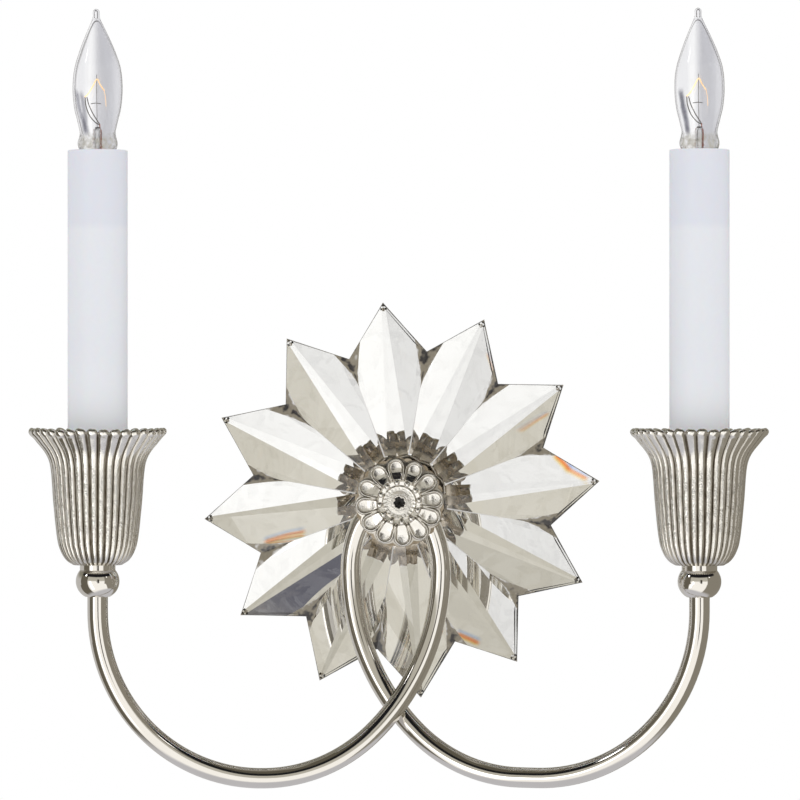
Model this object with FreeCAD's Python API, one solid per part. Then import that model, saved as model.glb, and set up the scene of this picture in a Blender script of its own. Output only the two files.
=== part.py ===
"""Double arm wall sconce: two fluted candle cups on crossing arms over a faceted crystal star.

Millimetres. +Z is up, the wall is the plane y = 0 and the sconce stands out of it towards -Y.
The origin is on the hub's axis in the wall plane, at the middle of the strap's two slots.
"""
import FreeCAD, Part
import math
import os

V = FreeCAD.Vector
TURN = 2 * math.pi
X, Y, Z = V(1, 0, 0), V(0, 1, 0), V(0, 0, 1)

# ---------------------------------------------------------------- driving dimensions

# strap that screws to the box in the wall
strap_length = 104.0
strap_width = 16.0
strap_thickness = 2.0
strap_slot_spacing = 88.9
strap_slot_width = 5.0
strap_slot_length = 12.0
ground_screw_radius = 2.0
ground_screw_place = 24.0
ground_head_radius = 4.2
ground_head_height = 2.4
ground_slot_width = 1.0

# hollow threaded rod that holds pan, star and hub together
rod_radius = 4.8
rod_bore_radius = 3.4
rod_wall_gap = 0.5
thread_clearance = 0.05
rod_nut_flats = 15.0
rod_nut_height = 3.0
rod_window_start = 4.9
rod_window_end = 12.6
rod_hub_engagement = 2.6

# pan against the wall
pan_radius = 62.0
pan_depth = 18.5
pan_wall = 1.0
pan_lip = 3.0
pan_bevel = 2.0
pan_inner_bevel = 1.6
pan_gasket_radius = 40.0
pan_gasket_thickness = 1.0

# crystal star
petal_count = 12
star_tip_radius = 87.5
star_valley_radius = 66.3
star_edge_thickness = 3.0
star_apex_height = 24.9
star_seat_height = 14.5
star_pocket_radius = 16.8
star_draft = 0.25
star_hole_radius = 5.6
star_turn = 5.5
tip_bevel = 0.9
tip_bevel_slope = 1.0
mirror_thickness = 1.0
mirror_margin = 0.3
mirror_gap = 0.1
groove_depth = 1.25
groove_reach = 25.0
groove_wall_slope = 0.6
groove_half_width = 7.0

# hub in front of the star
star_washer_radius = 13.0
star_washer_thickness = 1.0
clamp_washer_radius = 16.0
clamp_washer_thickness = 2.0
hub_radius = 15.0
hub_front = -66.0
hub_back_wall = 4.0
hub_wall = 4.0
hub_cover_thickness = 1.2
hub_cover_seat = 2.4
hub_foot_step = 0.6
hub_foot_height = 1.6

# fluted collar between hub and rosette
collar_flutes = 30
collar_radius = 19.4
collar_foot_radius = 16.4
collar_flute_depth = 0.8
collar_foot_drop = 2.6
collar_plate = 1.4
collar_swell = 0.2

# rosette that covers the hub, held by one screw
rosette_petal_radius = 18.6
rosette_petal_notch = 16.4
rosette_flange_radius = 19.9
rosette_flange_notch = 18.1
rosette_flange_thickness = 0.8
rosette_height = 5.6
rosette_seat_height = 2.8
rosette_face = [
    (19.6, 2.8), (18.0, 4.3), (16.4, 5.6), (11.6, 5.1), (10.1, 4.3), (7.3, 4.3), (6.9, 4.7), (6.4, 4.7),
]
rosette_dish_floor_radius = 3.9
rosette_bead_ring = 8.7
rosette_bead_radius = 1.15
rosette_bead_height = 4.3
spoon_place = 14.5
spoon_radius = 3.1
spoon_depth = 1.5
cap_screw_head_radius = 3.3
cap_screw_head_height = 1.6
cap_screw_head_bevel = 0.5
cap_screw_radius = 1.95
cap_screw_drive_radius = 2.4
cap_screw_drive_depth = 1.0
cap_screw_drive_notch = 1.92
cap_screw_length = 6.2
drive_lobes = 8

# arms: a front one to the left cup and a rear one to the right cup
arm_radius = 4.4
arm_wall = 1.1
arm_reach = 128.5
arm_projection = 95.0
arm_low_z = -118.8
arm_cup_bend = 72.8
arm_low_bend = 69.0
arm_rise_bend = 96.0
arm_rise_angle = 42.5
arm_neck_bend = 45.0
arm_neck_angle = 24.0
arm_hub_bend = 12.0
arm_tail = 2.0
front_arm_inner_x = 17.7
front_arm_inner_y = -56.0
front_arm_heading = 60.0
rear_arm_inner_x = -21.9
rear_arm_inner_y = -44.5
rear_arm_heading = 75.0

# leads inside the arms, and their connectors in the pan
lead_radius = 1.1
lead_pair_offset = 1.4
lead_rod_offset = 1.3
lead_bend = 6.0
lead_row_offset = 2.1
lead_rod_rise = 3.0
lead_spread_drop = 4.0
lead_end_gap = 1.0
lead_top_gap = 0.2
connector_spread = 7.5
connector_y = -8.55
connector_z = 20.0
connector_clearance = 0.1
connector_length = 16.0
connector_radius = 4.9
connector_tip_radius = 3.2
connector_bore_depth = 10.0

# ball between arm and cup
ball_radius = 9.3
ball_mid_z = -32.7
ball_foot_radius = 5.3
ball_foot_z = -39.8
ball_collar_radius = 7.6
ball_collar_height = 2.2
arm_socket_depth = 5.4

# fluted cup: height above the hub axis and radius over the flutes
cup_floor_z = -26.2
cup_rim_z = 31.8
cup_outline = [
    (-26.2, 10.4), (-24.2, 13.4), (-20.4, 15.8), (-14.6, 17.4), (0.3, 19.0),
    (12.5, 19.9), (18.0, 20.8), (22.0, 22.7), (26.0, 25.8), (31.8, 29.8),
]
cup_sections = 13
flute_count = 36
flute_depth_share = 0.32
cup_wall = 1.3
cup_floor_thickness = 3.0
cup_inner_foot = 9.0
cup_inner_rise = 2.0

# threaded nipple, nut, stem and seat inside the cup
nipple_radius = 4.8
nipple_bore_radius = 3.3
nipple_drop = 5.6
nipple_rise = 11.0
nipple_end_gap = 0.2
cup_nut_flats = 15.0
cup_nut_height = 3.4
stem_radius = 5.7
stem_bore_radius = 3.3
stem_flange_radius = 8.4
stem_flange_height = 2.0
stem_foot_step = 0.5
seat_radius = 14.2
seat_thickness = 3.0
seat_spigot_height = 3.0
seat_spigot_wall = 2.0
seat_shoulder_radius = 7.8
seat_shoulder_height = 3.0
seat_shoulder_bevel = 1.0

# candle sleeve
sleeve_radius = 12.8
sleeve_wall = 1.0
sleeve_top_z = 151.0
sleeve_length = 152.4
sleeve_rest_gap = 0.1
sleeve_spigot_clearance = 0.2
sleeve_edge = 0.35

# lamp holder
holder_top_z = 146.0
holder_length = 27.0
holder_radius = 10.4
holder_floor = 4.0
lead_hole_depth = 2.6
shell_bore_radius = 6.15
shell_wall = 0.4
shell_length = 18.6
shell_lip = 0.9
contact_width = 3.4
contact_gap = 0.05
contact_foot = [(-5.4, 0.0), (-1.4, 0.0), (-0.4, 0.5)]
contact_head = [(2.6, 1.1), (2.2, 0.0), (-1.2, 0.0), (-1.2, 0.5), (1.6, 0.5), (1.6, 1.2)]
contact_return = [(-0.9, 0.8), (-1.8, 0.5), (-5.4, 0.5)]

# candle bulb with a small screw base
base_radius = 5.95
base_root_radius = 5.45
base_pitch = 2.54
base_turns = 5
base_top_z = 146.8
base_skirt = 1.6
base_wall = 0.3
button_radius = 2.3
button_height = 0.9
button_shoulder_radius = 1.72
button_shoulder_share = 0.45
insulator_height = 1.8
insulator_spigot = 1.5
insulator_foot_radius = 3.0
bulb_wall = 0.6
bulb_neck_depth = 4.0
bulb_neck_lap = 0.3
bulb_outline = [
    (146.9, 5.3), (149.6, 7.2), (154.2, 8.5), (157.7, 7.8), (163.0, 8.9), (170.0, 10.3),
    (178.2, 10.75), (186.0, 9.95), (193.0, 7.8), (199.0, 5.4), (204.0, 3.1), (207.6, 1.75),
    (209.8, 1.45),
]
bulb_tip_z = 211.6
bulb_hollow_top_z = 204.0
bulb_hollow_blend = 2.0
glass_stem_radius = 1.9
glass_stem_top_z = 161.0
glass_stem_foot_thickness = 0.8
glass_stem_flare_height = 5.0
glass_stem_pinch_height = 1.4
glass_stem_pinch_radius = 0.95
support_radius = 0.3
support_foot_offset = 0.45
support_spread = 0.8
support_rise = 3.0
support_upright = 3.4
support_bend = 4.0
support_left = (-4.9, 173.3)
support_right = (4.1, 169.9)
filament_peak = (0.2, 181.6)
filament_radius = 0.28
filament_bend = 1.2

# how far a cutter runs past the face that it cuts
past = 1.0
# most of a straight run that one bend at its end may use up
bend_share = 0.45

# ---------------------------------------------------------------- derived places

pan_front = -pan_depth
mirror_back = pan_front - pan_gasket_thickness
mirror_front = mirror_back - mirror_thickness
star_back = mirror_front - mirror_gap
star_seat = star_back - star_seat_height
hub_back = star_seat - star_washer_thickness - clamp_washer_thickness
hub_cavity_radius = hub_radius - hub_wall
hub_cavity_back = hub_back - hub_back_wall
hub_cavity_front = hub_front + hub_cover_thickness
rod_front = hub_cavity_back - rod_hub_engagement
rosette_back = hub_front - collar_plate
rosette_seat = rosette_back - rosette_seat_height
arm_bore_radius = arm_radius - arm_wall
ball_top_z = cup_floor_z
cup_nut_z = cup_floor_z + cup_floor_thickness
stem_foot_z = cup_nut_z + cup_nut_height
nipple_top_z = cup_nut_z + nipple_rise
sleeve_foot_z = sleeve_top_z - sleeve_length
seat_top_z = sleeve_foot_z - sleeve_rest_gap
seat_foot_z = seat_top_z - seat_thickness
holder_foot_z = holder_top_z - holder_length
stem_top_z = holder_foot_z
holder_floor_z = holder_foot_z + holder_floor
base_length = base_turns * base_pitch + base_skirt
base_foot_z = base_top_z - base_length
button_foot_z = base_foot_z - insulator_height - button_height / 2
lead_top_z = holder_foot_z + lead_hole_depth - lead_top_gap
bulb_neck_radius = base_root_radius - base_wall - thread_clearance
bulb_neck_foot_z = base_top_z - bulb_neck_depth

# ---------------------------------------------------------------- shape helpers


def polar(radius, degrees, y=0.0):
    """Point in a plane parallel to the wall, at an angle from +Z towards +X."""
    angle = math.radians(degrees)
    return V(radius * math.sin(angle), y, radius * math.cos(angle))


def hub_ring(outer, inner, y_back, y_front):
    """Ring or disc about the hub's axis."""
    length = y_back - y_front
    solid = Part.makeCylinder(outer, length, V(0, y_front, 0), Y)
    if inner:
        solid = solid.cut(Part.makeCylinder(inner, length + 2 * past, V(0, y_front - past, 0), Y))
    return solid


def hub_revolve(outline):
    """Solid of revolution about the hub's axis from (radius, y) corners."""
    corners = [V(r, y, 0) for r, y in outline + outline[:1]]
    return Part.Face(Part.makePolygon(corners)).revolve(V(0, 0, 0), Y, 360)


def upright_ring(outer, inner, z_low, z_high):
    """Ring or disc about the candle's axis, which the caller moves to its cup."""
    height = z_high - z_low
    solid = Part.makeCylinder(outer, height, V(0, 0, z_low), Z)
    if inner:
        solid = solid.cut(Part.makeCylinder(inner, height + 2 * past, V(0, 0, z_low - past), Z))
    return solid


def upright_revolve(edges):
    """Solid of revolution about the candle's axis from edges in the XZ plane."""
    return Part.Face(Part.Wire(edges)).revolve(V(0, 0, 0), Z, 360)


def polygon_edges(corners):
    """Straight edges through (radius, z) corners in the XZ plane, left open at the end."""
    points = [V(r, 0, z) for r, z in corners]
    return [Part.LineSegment(a, b).toShape() for a, b in zip(points, points[1:])]


def hex_prism(flats, height, place, axis):
    """Hexagonal nut blank without its bore."""
    corner = flats / math.sqrt(3)
    angles = [k * TURN / 6 for k in range(7)]
    points = [V(corner * math.cos(angle), corner * math.sin(angle), 0) for angle in angles]
    prism = Part.Face(Part.makePolygon(points)).extrude(V(0, 0, height))
    prism.Placement = FreeCAD.Placement(place, FreeCAD.Rotation(Z, axis))
    return prism


def scallop_wire(count, crest, notch, level, along, phase=0.0):
    """Closed wire of round lobes: crests at one radius, notches at another."""
    step = 360.0 / count

    def at(radius, degrees):
        if along == "y":
            return polar(radius, degrees, level)
        angle = math.radians(degrees)
        return V(radius * math.cos(angle), radius * math.sin(angle), level)

    arcs = []
    for k in range(count):
        middle = phase + k * step
        before, after = at(notch, middle - step / 2), at(notch, middle + step / 2)
        arcs.append(Part.Arc(before, at(crest, middle), after).toShape())
    return Part.Wire(arcs)


def rounded_run(points, bend):
    """Edges of a polyline whose corners are tangent arcs, with the radii that it used."""
    edges, radii = [], []
    start = points[0]
    for before, corner, after in zip(points, points[1:], points[2:]):
        run_in, run_out = corner - before, after - corner
        half = run_in.getAngle(run_out) / 2
        radius = min(bend, bend_share * min(run_in.Length, run_out.Length) / math.tan(half))
        back = radius * math.tan(half)
        way_in, way_out = V(run_in).normalize(), V(run_out).normalize()
        first, last = corner - way_in * back, corner + way_out * back
        bisector = (way_out - way_in).normalize()
        centre = corner + bisector * (radius / math.cos(half))
        edges.append(Part.LineSegment(start, first).toShape())
        edges.append(Part.Arc(first, centre - bisector * radius, last).toShape())
        radii.append(radius)
        start = last
    edges.append(Part.LineSegment(start, points[-1]).toShape())
    return edges, radii


def sweep_round(edges, outer, inner=0.0):
    """Round rod or tube along tangent edges."""
    path = Part.Wire(edges)
    start = edges[0].valueAt(edges[0].FirstParameter)
    way = edges[0].tangentAt(edges[0].FirstParameter)
    profile = Part.Face(Part.Wire(Part.Circle(start, way, outer).toShape()))
    if inner:
        profile = profile.cut(Part.Face(Part.Wire(Part.Circle(start, way, inner).toShape())))
        profile = profile.Faces[0]
    return path.makePipe(profile)


# ---------------------------------------------------------------- arm geometry


class Arm:
    """Centre line of one arm, in the upright plane through its cup and its inner tangent."""

    def __init__(self, side, inner_x, inner_y, heading):
        self.side = side
        self.heading = math.radians(heading)
        self.cup = V(side * arm_reach, -arm_projection, 0)
        inward = V(inner_x, inner_y, 0) - self.cup
        self.span = inward.Length
        self.across = V(inward).normalize()
        self.normal = self.across.cross(Z)

    def point(self, u, z):
        return self.cup + self.across * u + V(0, 0, z)

    def arc(self, u, z, radius, start, end):
        """Arc that leaves (u, z) at the angle start above the inward way and ends at the angle end."""
        def place(angle):
            return self.point(
                u + radius * (math.sin(angle) - math.sin(start)),
                z + radius * (math.cos(start) - math.cos(angle)),
            )
        edge = Part.Arc(place(start), place((start + end) / 2), place(end)).toShape()
        u_end = u + radius * (math.sin(end) - math.sin(start))
        z_end = z + radius * (math.cos(start) - math.cos(end))
        return edge, u_end, z_end

    def edges(self, top_z):
        """Edges from top_z above the bend down, round below the hub and up into it."""
        rise = math.radians(arm_rise_angle)
        upright = math.pi / 2
        neck = upright + math.radians(arm_neck_angle)
        last = upright + self.heading
        level_run = self.span - (
            arm_cup_bend + arm_low_bend * math.sin(rise) + arm_rise_bend * (1 - math.sin(rise))
        )
        edges = [Part.LineSegment(self.point(0, top_z), self.point(0, arm_low_z + arm_cup_bend)).toShape()]
        edge, u, z = self.arc(0, arm_low_z + arm_cup_bend, arm_cup_bend, -upright, 0)
        edges.append(edge)
        edges.append(Part.LineSegment(self.point(u, z), self.point(u + level_run, z)).toShape())
        u += level_run
        bends = (
            (arm_low_bend, 0, rise),
            (arm_rise_bend, rise, upright),
            (arm_neck_bend, upright, neck),
            (arm_hub_bend, neck, last),
        )
        for radius, start, end in bends:
            edge, u, z = self.arc(u, z, radius, start, end)
            edges.append(edge)
        self.end_way = self.across * math.cos(last) + Z * math.sin(last)
        end = self.point(u, z)
        self.end = end + self.end_way * arm_tail
        edges.append(Part.LineSegment(end, self.end).toShape())
        return edges


ARMS = {
    "left": Arm(-1, front_arm_inner_x, front_arm_inner_y, front_arm_heading),
    "right": Arm(1, rear_arm_inner_x, rear_arm_inner_y, rear_arm_heading),
}
SIDES = tuple(ARMS)

# ---------------------------------------------------------------- wall side


def mounting_strap():
    corner = V(-strap_length / 2, -strap_thickness, -strap_width / 2)
    bar = Part.makeBox(strap_length, strap_thickness, strap_width, corner)
    depth = strap_thickness + 2 * past
    half = strap_slot_width / 2
    straight = strap_slot_length - strap_slot_width
    screw_hole = ground_screw_radius + thread_clearance
    holes = [
        Part.makeCylinder(rod_radius + thread_clearance, depth, V(0, past, 0), -Y),
        Part.makeCylinder(screw_hole, depth, V(-ground_screw_place, past, 0), -Y),
    ]
    for side in (-1, 1):
        middle = side * strap_slot_spacing / 2
        corner = V(middle - straight / 2, -strap_thickness - past, -half)
        holes.append(Part.makeBox(straight, depth, strap_slot_width, corner))
        for end in (-1, 1):
            place = V(middle + end * straight / 2, past, 0)
            holes.append(Part.makeCylinder(half, depth, place, -Y))
    for hole in holes:
        bar = bar.cut(hole)
    return bar


def ground_screw():
    place = V(-ground_screw_place, -strap_thickness, 0)
    head = Part.makeCylinder(ground_head_radius, ground_head_height, place, -Y)
    head_edge = -ground_screw_place - ground_head_radius
    corner = V(head_edge, -strap_thickness - ground_head_height, -ground_slot_width / 2)
    slot = Part.makeBox(2 * ground_head_radius, ground_head_height / 2, ground_slot_width, corner)
    head = head.cut(slot)
    shank = Part.makeCylinder(ground_screw_radius, strap_thickness, place, Y)
    return head.fuse(shank).removeSplitter()


def threaded_rod():
    rod = hub_ring(rod_radius, rod_bore_radius, -rod_wall_gap, rod_front)
    window = Part.makeBox(
        2 * rod_bore_radius, rod_window_end - rod_window_start, rod_radius + past,
        V(-rod_bore_radius, -rod_window_end, 0),
    )
    return rod.cut(window)


def strap_lock_nut():
    nut = hex_prism(rod_nut_flats, rod_nut_height, V(0, -strap_thickness, 0), -Y)
    front = -strap_thickness - rod_nut_height
    return nut.cut(hub_ring(rod_radius + thread_clearance, 0, past, front - past))


def back_pan():
    bore = rod_radius + thread_clearance
    inner = pan_radius - pan_wall
    return hub_revolve([
        (pan_radius - pan_lip, 0), (pan_radius, 0), (pan_radius, pan_front + pan_bevel),
        (pan_radius - pan_bevel, pan_front), (bore, pan_front), (bore, pan_front + pan_wall),
        (inner - pan_inner_bevel, pan_front + pan_wall), (inner, pan_front + pan_wall + pan_inner_bevel),
        (inner, -pan_wall), (pan_radius - pan_lip, -pan_wall),
    ])


def pan_gasket():
    return hub_ring(pan_gasket_radius, rod_radius + thread_clearance, pan_front, mirror_back)


# ---------------------------------------------------------------- crystal star


def star_corners(grow, y):
    """Corners of the star's outline, moved out square to every edge by grow."""
    half_step = 180.0 / petal_count
    valley = math.radians(half_step)
    run = star_tip_radius - star_valley_radius * math.cos(valley)
    rise = star_valley_radius * math.sin(valley)
    tip_half = math.atan2(rise, run)
    tip = star_tip_radius + grow / math.sin(tip_half)
    notch = star_valley_radius + grow / math.sin(tip_half + valley)
    corners = []
    for k in range(petal_count):
        corners.append(polar(tip, k * 2 * half_step - star_turn, y))
        corners.append(polar(notch, (2 * k + 1) * half_step - star_turn, y))
    return corners


def ruled_solid(rings, apex=None):
    """Closed solid of flat faces between rings of corners; the first ring is capped flat."""
    faces = [Part.Face(Part.makePolygon(rings[0] + rings[0][:1]))]
    count = len(rings[0])
    for low, high in zip(rings, rings[1:]):
        for k in range(count):
            after = (k + 1) % count
            faces.append(Part.Face(Part.makePolygon([low[k], low[after], high[after], high[k], low[k]])))
    top = rings[-1]
    if apex is None:
        faces.append(Part.Face(Part.makePolygon(top + top[:1])))
    else:
        for k in range(count):
            faces.append(Part.Face(Part.makePolygon([top[k], top[(k + 1) % count], apex, top[k]])))
    return Part.makeSolid(Part.makeShell(faces))


def valley_groove(index):
    """Edge of a large grinding wheel that runs along one valley and bites deepest at its corner."""
    wheel = groove_reach ** 2 / (2 * groove_depth)
    slope = (star_apex_height - star_edge_thickness) / star_valley_radius
    lean = math.atan(slope)
    angle = (index + 0.5) * 360.0 / petal_count - star_turn
    outward = polar(1, angle)
    along = outward * math.cos(lean) + Y * math.sin(lean)
    away = outward * math.sin(lean) - Y * math.cos(lean)
    axle = along.cross(away)
    corner = outward * star_valley_radius + V(0, star_back - star_edge_thickness, 0)
    centre = corner + away * (wheel - groove_depth)
    small = wheel - groove_half_width * groove_wall_slope
    halves = [Part.makeCone(wheel, small, groove_half_width, centre, way) for way in (axle, -axle)]
    return halves[0].fuse(halves[1])


def tip_trimmer():
    """Pyramid whose slanting faces leave a small blunt facet on every tip."""
    foot = star_tip_radius + star_edge_thickness * tip_bevel_slope - tip_bevel
    rise = foot / tip_bevel_slope
    half = 180.0 / petal_count
    corner = foot / math.cos(math.radians(half))
    back = star_back + past
    ring = [polar(corner, (2 * k + 1) * half - star_turn, back) for k in range(petal_count)]
    return ruled_solid([ring], V(0, back - rise, 0))


def crystal_star():
    """Low pyramid of petals, with a round pocket in its middle that the hub is clamped into."""
    front = star_back - star_edge_thickness
    apex = star_back - star_apex_height
    body = ruled_solid([star_corners(star_draft, star_back), star_corners(0, front)], V(0, apex, 0))
    body = body.common(tip_trimmer())
    body = body.cut([valley_groove(k) for k in range(petal_count)])
    body = body.cut(hub_ring(star_pocket_radius, 0, star_seat, apex - past))
    return body.cut(hub_ring(star_hole_radius, 0, star_back + past, star_seat - past)).Solids[0]


def mirror_backing():
    outline = star_corners(star_draft - mirror_margin, mirror_back)
    plate = Part.Face(Part.makePolygon(outline + outline[:1])).extrude(V(0, -mirror_thickness, 0))
    return plate.cut(hub_ring(star_hole_radius, 0, mirror_back + past, mirror_front - past))


def star_washer():
    front = star_seat - star_washer_thickness
    return hub_ring(star_washer_radius, rod_radius + thread_clearance, star_seat, front)


def clamp_washer():
    back = star_seat - star_washer_thickness
    return hub_ring(clamp_washer_radius, rod_radius + thread_clearance, back, hub_back)


# ---------------------------------------------------------------- hub and rosette


def hub_body():
    cover_radius = hub_cavity_radius + hub_cover_seat
    bore = rod_radius + thread_clearance
    foot_radius = hub_radius + hub_foot_step
    foot_front = hub_back - hub_foot_height
    body = hub_revolve([
        (bore, hub_back), (foot_radius, hub_back), (foot_radius, foot_front),
        (hub_radius, foot_front - hub_foot_step), (hub_radius, hub_front), (cover_radius, hub_front),
        (cover_radius, hub_cavity_front), (hub_cavity_radius, hub_cavity_front),
        (hub_cavity_radius, hub_cavity_back), (bore, hub_cavity_back),
    ])
    for arm in ARMS.values():
        inner = arm.edges(0)[-3:]
        body = body.cut(sweep_round(inner, arm_radius + thread_clearance))
    return body


def fluted_collar():
    """Shallow flared ring of flutes round the hub's front, closed by a thin plate."""
    foot = hub_front + collar_foot_drop
    middle_radius = (collar_foot_radius + collar_radius) / 2 + collar_swell
    levels = [(foot, collar_foot_radius), (hub_front, middle_radius), (rosette_back, collar_radius)]
    depth = collar_flute_depth
    wires = [scallop_wire(collar_flutes, radius, radius - depth, y, "y") for y, radius in levels]
    collar = Part.makeLoft(wires, True)
    collar = collar.cut(hub_ring(hub_radius + thread_clearance, 0, foot + past, hub_front))
    return collar.cut(hub_ring(cap_screw_radius + thread_clearance, 0, foot + past, rosette_back - past))


def hub_cover():
    cover_radius = hub_cavity_radius + hub_cover_seat - thread_clearance
    return hub_ring(cover_radius, cap_screw_radius + thread_clearance, hub_cavity_front, hub_front)


def rosette_cap():
    """Petals cut from a turned dome, a lobed flange behind them, and a ring of beads round the dish."""
    crest = rosette_back - rosette_height
    wire = scallop_wire(petal_count, rosette_petal_radius, rosette_petal_notch, crest, "y", -star_turn)
    petals = Part.Face(wire).extrude(V(0, rosette_height, 0))
    face = [(radius, rosette_back - height) for radius, height in rosette_face]
    foot = [(0, rosette_back), (rosette_face[0][0], rosette_back)]
    dish = [(rosette_dish_floor_radius, rosette_seat), (0, rosette_seat)]
    body = petals.common(hub_revolve(foot + face + dish))
    flange_wire = scallop_wire(
        petal_count, rosette_flange_radius, rosette_flange_notch, rosette_back, "y", -star_turn,
    )
    flange = Part.Face(flange_wire).extrude(V(0, -rosette_flange_thickness, 0))
    body = body.fuse(flange).removeSplitter()
    ball = (spoon_radius ** 2 + spoon_depth ** 2) / (2 * spoon_depth)
    bead_y = rosette_back - rosette_bead_height
    angles = [k * 360.0 / petal_count - star_turn for k in range(petal_count)]
    for angle in angles:
        body = body.cut(Part.makeSphere(ball, polar(spoon_place, angle, crest + spoon_depth - ball)))
    for angle in angles:
        body = body.fuse(Part.makeSphere(rosette_bead_radius, polar(rosette_bead_ring, angle, bead_y)))
    hole = hub_ring(cap_screw_radius + thread_clearance, 0, rosette_back + past, crest - past)
    return body.cut(hole).Solids[0]


def cap_screw():
    top = rosette_seat - cap_screw_head_height
    head = hub_revolve([
        (0, rosette_seat), (cap_screw_head_radius, rosette_seat),
        (cap_screw_head_radius, top + cap_screw_head_bevel),
        (cap_screw_head_radius - cap_screw_head_bevel, top), (0, top),
    ])
    drive = scallop_wire(drive_lobes, cap_screw_drive_radius, cap_screw_drive_notch, top, "y")
    head = head.cut(Part.Face(drive).extrude(V(0, cap_screw_drive_depth, 0)))
    shank = Part.makeCylinder(cap_screw_radius, cap_screw_length, V(0, rosette_seat, 0), Y)
    return head.fuse(shank).removeSplitter()


# ---------------------------------------------------------------- arms and leads


def arm_tube(side):
    top = ball_foot_z + arm_socket_depth
    return sweep_round(ARMS[side].edges(top), arm_radius, arm_bore_radius)


def neck_ball(side):
    collar_z = ball_top_z - ball_collar_height
    bore = arm_radius + thread_clearance
    step = ball_foot_z + arm_socket_depth
    thread_foot = ball_top_z - nipple_drop
    arc = Part.Arc(V(ball_collar_radius, 0, collar_z), V(ball_radius, 0, ball_mid_z),
                   V(ball_foot_radius, 0, ball_foot_z)).toShape()
    edges = [arc] + polygon_edges([
        (ball_foot_radius, ball_foot_z), (bore, ball_foot_z), (bore, step), (nipple_bore_radius, step),
        (nipple_bore_radius, thread_foot), (nipple_radius + thread_clearance, thread_foot),
        (nipple_radius + thread_clearance, ball_top_z), (ball_collar_radius, ball_top_z),
        (ball_collar_radius, collar_z),
    ])
    return upright_revolve(edges)


def lead(side, circuit):
    """One insulated lead from the lamp holder through stem, arm, hub and rod to its connector."""
    arm = ARMS[side]
    which = 1 if circuit == "live" else -1
    rank = which * (1 if side == "left" else -1)
    shift = arm.normal * (lead_pair_offset * rank * (1 if arm.normal.y > 0 else -1))
    edges = [edge.translated(shift) for edge in arm.edges(lead_top_z)[:-1]]
    end = arm.end + shift
    x = which * lead_rod_offset
    z = lead_rod_offset if side == "left" else -lead_rod_offset
    y = connector_y - (lead_row_offset if side == "left" else -lead_row_offset)
    spread = which * connector_spread
    route = [
        edges[-1].valueAt(edges[-1].LastParameter), end, V(x, end.y, z), V(x, y, z),
        V(x, y, rod_radius + lead_rod_rise), V(spread, y, connector_z - lead_spread_drop),
        V(spread, y, connector_z + connector_bore_depth - lead_end_gap),
    ]
    bends, radii = rounded_run(route, lead_bend)
    print("lead", side, circuit, "hub and pan bends", [round(r, 2) for r in radii])
    return sweep_round(edges + bends, lead_radius)


def wire_connectors():
    caps = []
    bore = lead_row_offset + lead_radius + connector_clearance
    for way in (-1, 1):
        foot = V(way * connector_spread, connector_y, connector_z)
        cap = Part.makeCone(connector_radius, connector_tip_radius, connector_length, foot, Z)
        caps.append(cap.cut(Part.makeCylinder(bore, connector_bore_depth, foot, Z)))
    return Part.makeCompound(caps)


# ---------------------------------------------------------------- cup and what stands in it


def cup_curve():
    """Smooth outline over the flutes from foot to rim."""
    curve = Part.BSplineCurve()
    curve.interpolate([V(radius, 0, z) for z, radius in cup_outline])
    return curve


def cup_levels():
    """Points of the outline at even steps of its length."""
    return cup_curve().toShape().discretize(cup_sections)


def flute_depth(radius):
    return flute_depth_share * radius * TURN / flute_count


def fluted_cup(side):
    levels = cup_levels()
    wires = [scallop_wire(flute_count, p.x, p.x - flute_depth(p.x), p.z, "z") for p in levels]
    outside = Part.makeLoft(wires, True)
    inner = [V(p.x - flute_depth(p.x) - cup_wall, 0, p.z) for p in levels]
    floor_z = cup_floor_z + cup_floor_thickness
    upper = [p for p in inner if p.z > floor_z + cup_inner_rise and p.x > cup_inner_foot]
    wall = [V(cup_inner_foot, 0, floor_z)] + upper
    mouth = wall[-1].x
    wall[-1] = V(mouth, 0, cup_rim_z)
    curve = Part.BSplineCurve()
    curve.interpolate(wall)
    top = cup_rim_z + past
    edges = [curve.toShape()] + polygon_edges([
        (mouth, cup_rim_z), (mouth, top), (0, top), (0, floor_z), (cup_inner_foot, floor_z),
    ])
    cup = outside.cut(upright_revolve(edges))
    return cup.cut(upright_ring(nipple_radius + thread_clearance, 0, cup_floor_z - past, floor_z + past))


def cup_nipple(side):
    return upright_ring(nipple_radius, nipple_bore_radius, ball_top_z - nipple_drop, nipple_top_z)


def cup_lock_nut(side):
    nut = hex_prism(cup_nut_flats, cup_nut_height, V(0, 0, cup_nut_z), Z)
    return nut.cut(upright_ring(nipple_radius + thread_clearance, 0, cup_nut_z - past, stem_foot_z + past))


def socket_stem(side):
    bore = nipple_radius + thread_clearance
    foot_radius = stem_radius + stem_foot_step
    shoulder = seat_foot_z - seat_shoulder_height
    flange_foot = stem_top_z - stem_flange_height
    step = nipple_top_z + nipple_end_gap
    return upright_revolve(polygon_edges([
        (bore, stem_foot_z), (foot_radius, stem_foot_z), (foot_radius, shoulder - seat_shoulder_bevel),
        (seat_shoulder_radius, shoulder), (seat_shoulder_radius, seat_foot_z), (stem_radius, seat_foot_z),
        (stem_radius, flange_foot), (stem_flange_radius, flange_foot), (stem_flange_radius, stem_top_z),
        (stem_bore_radius, stem_top_z), (stem_bore_radius, step), (bore, step), (bore, stem_foot_z),
    ]))


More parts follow.
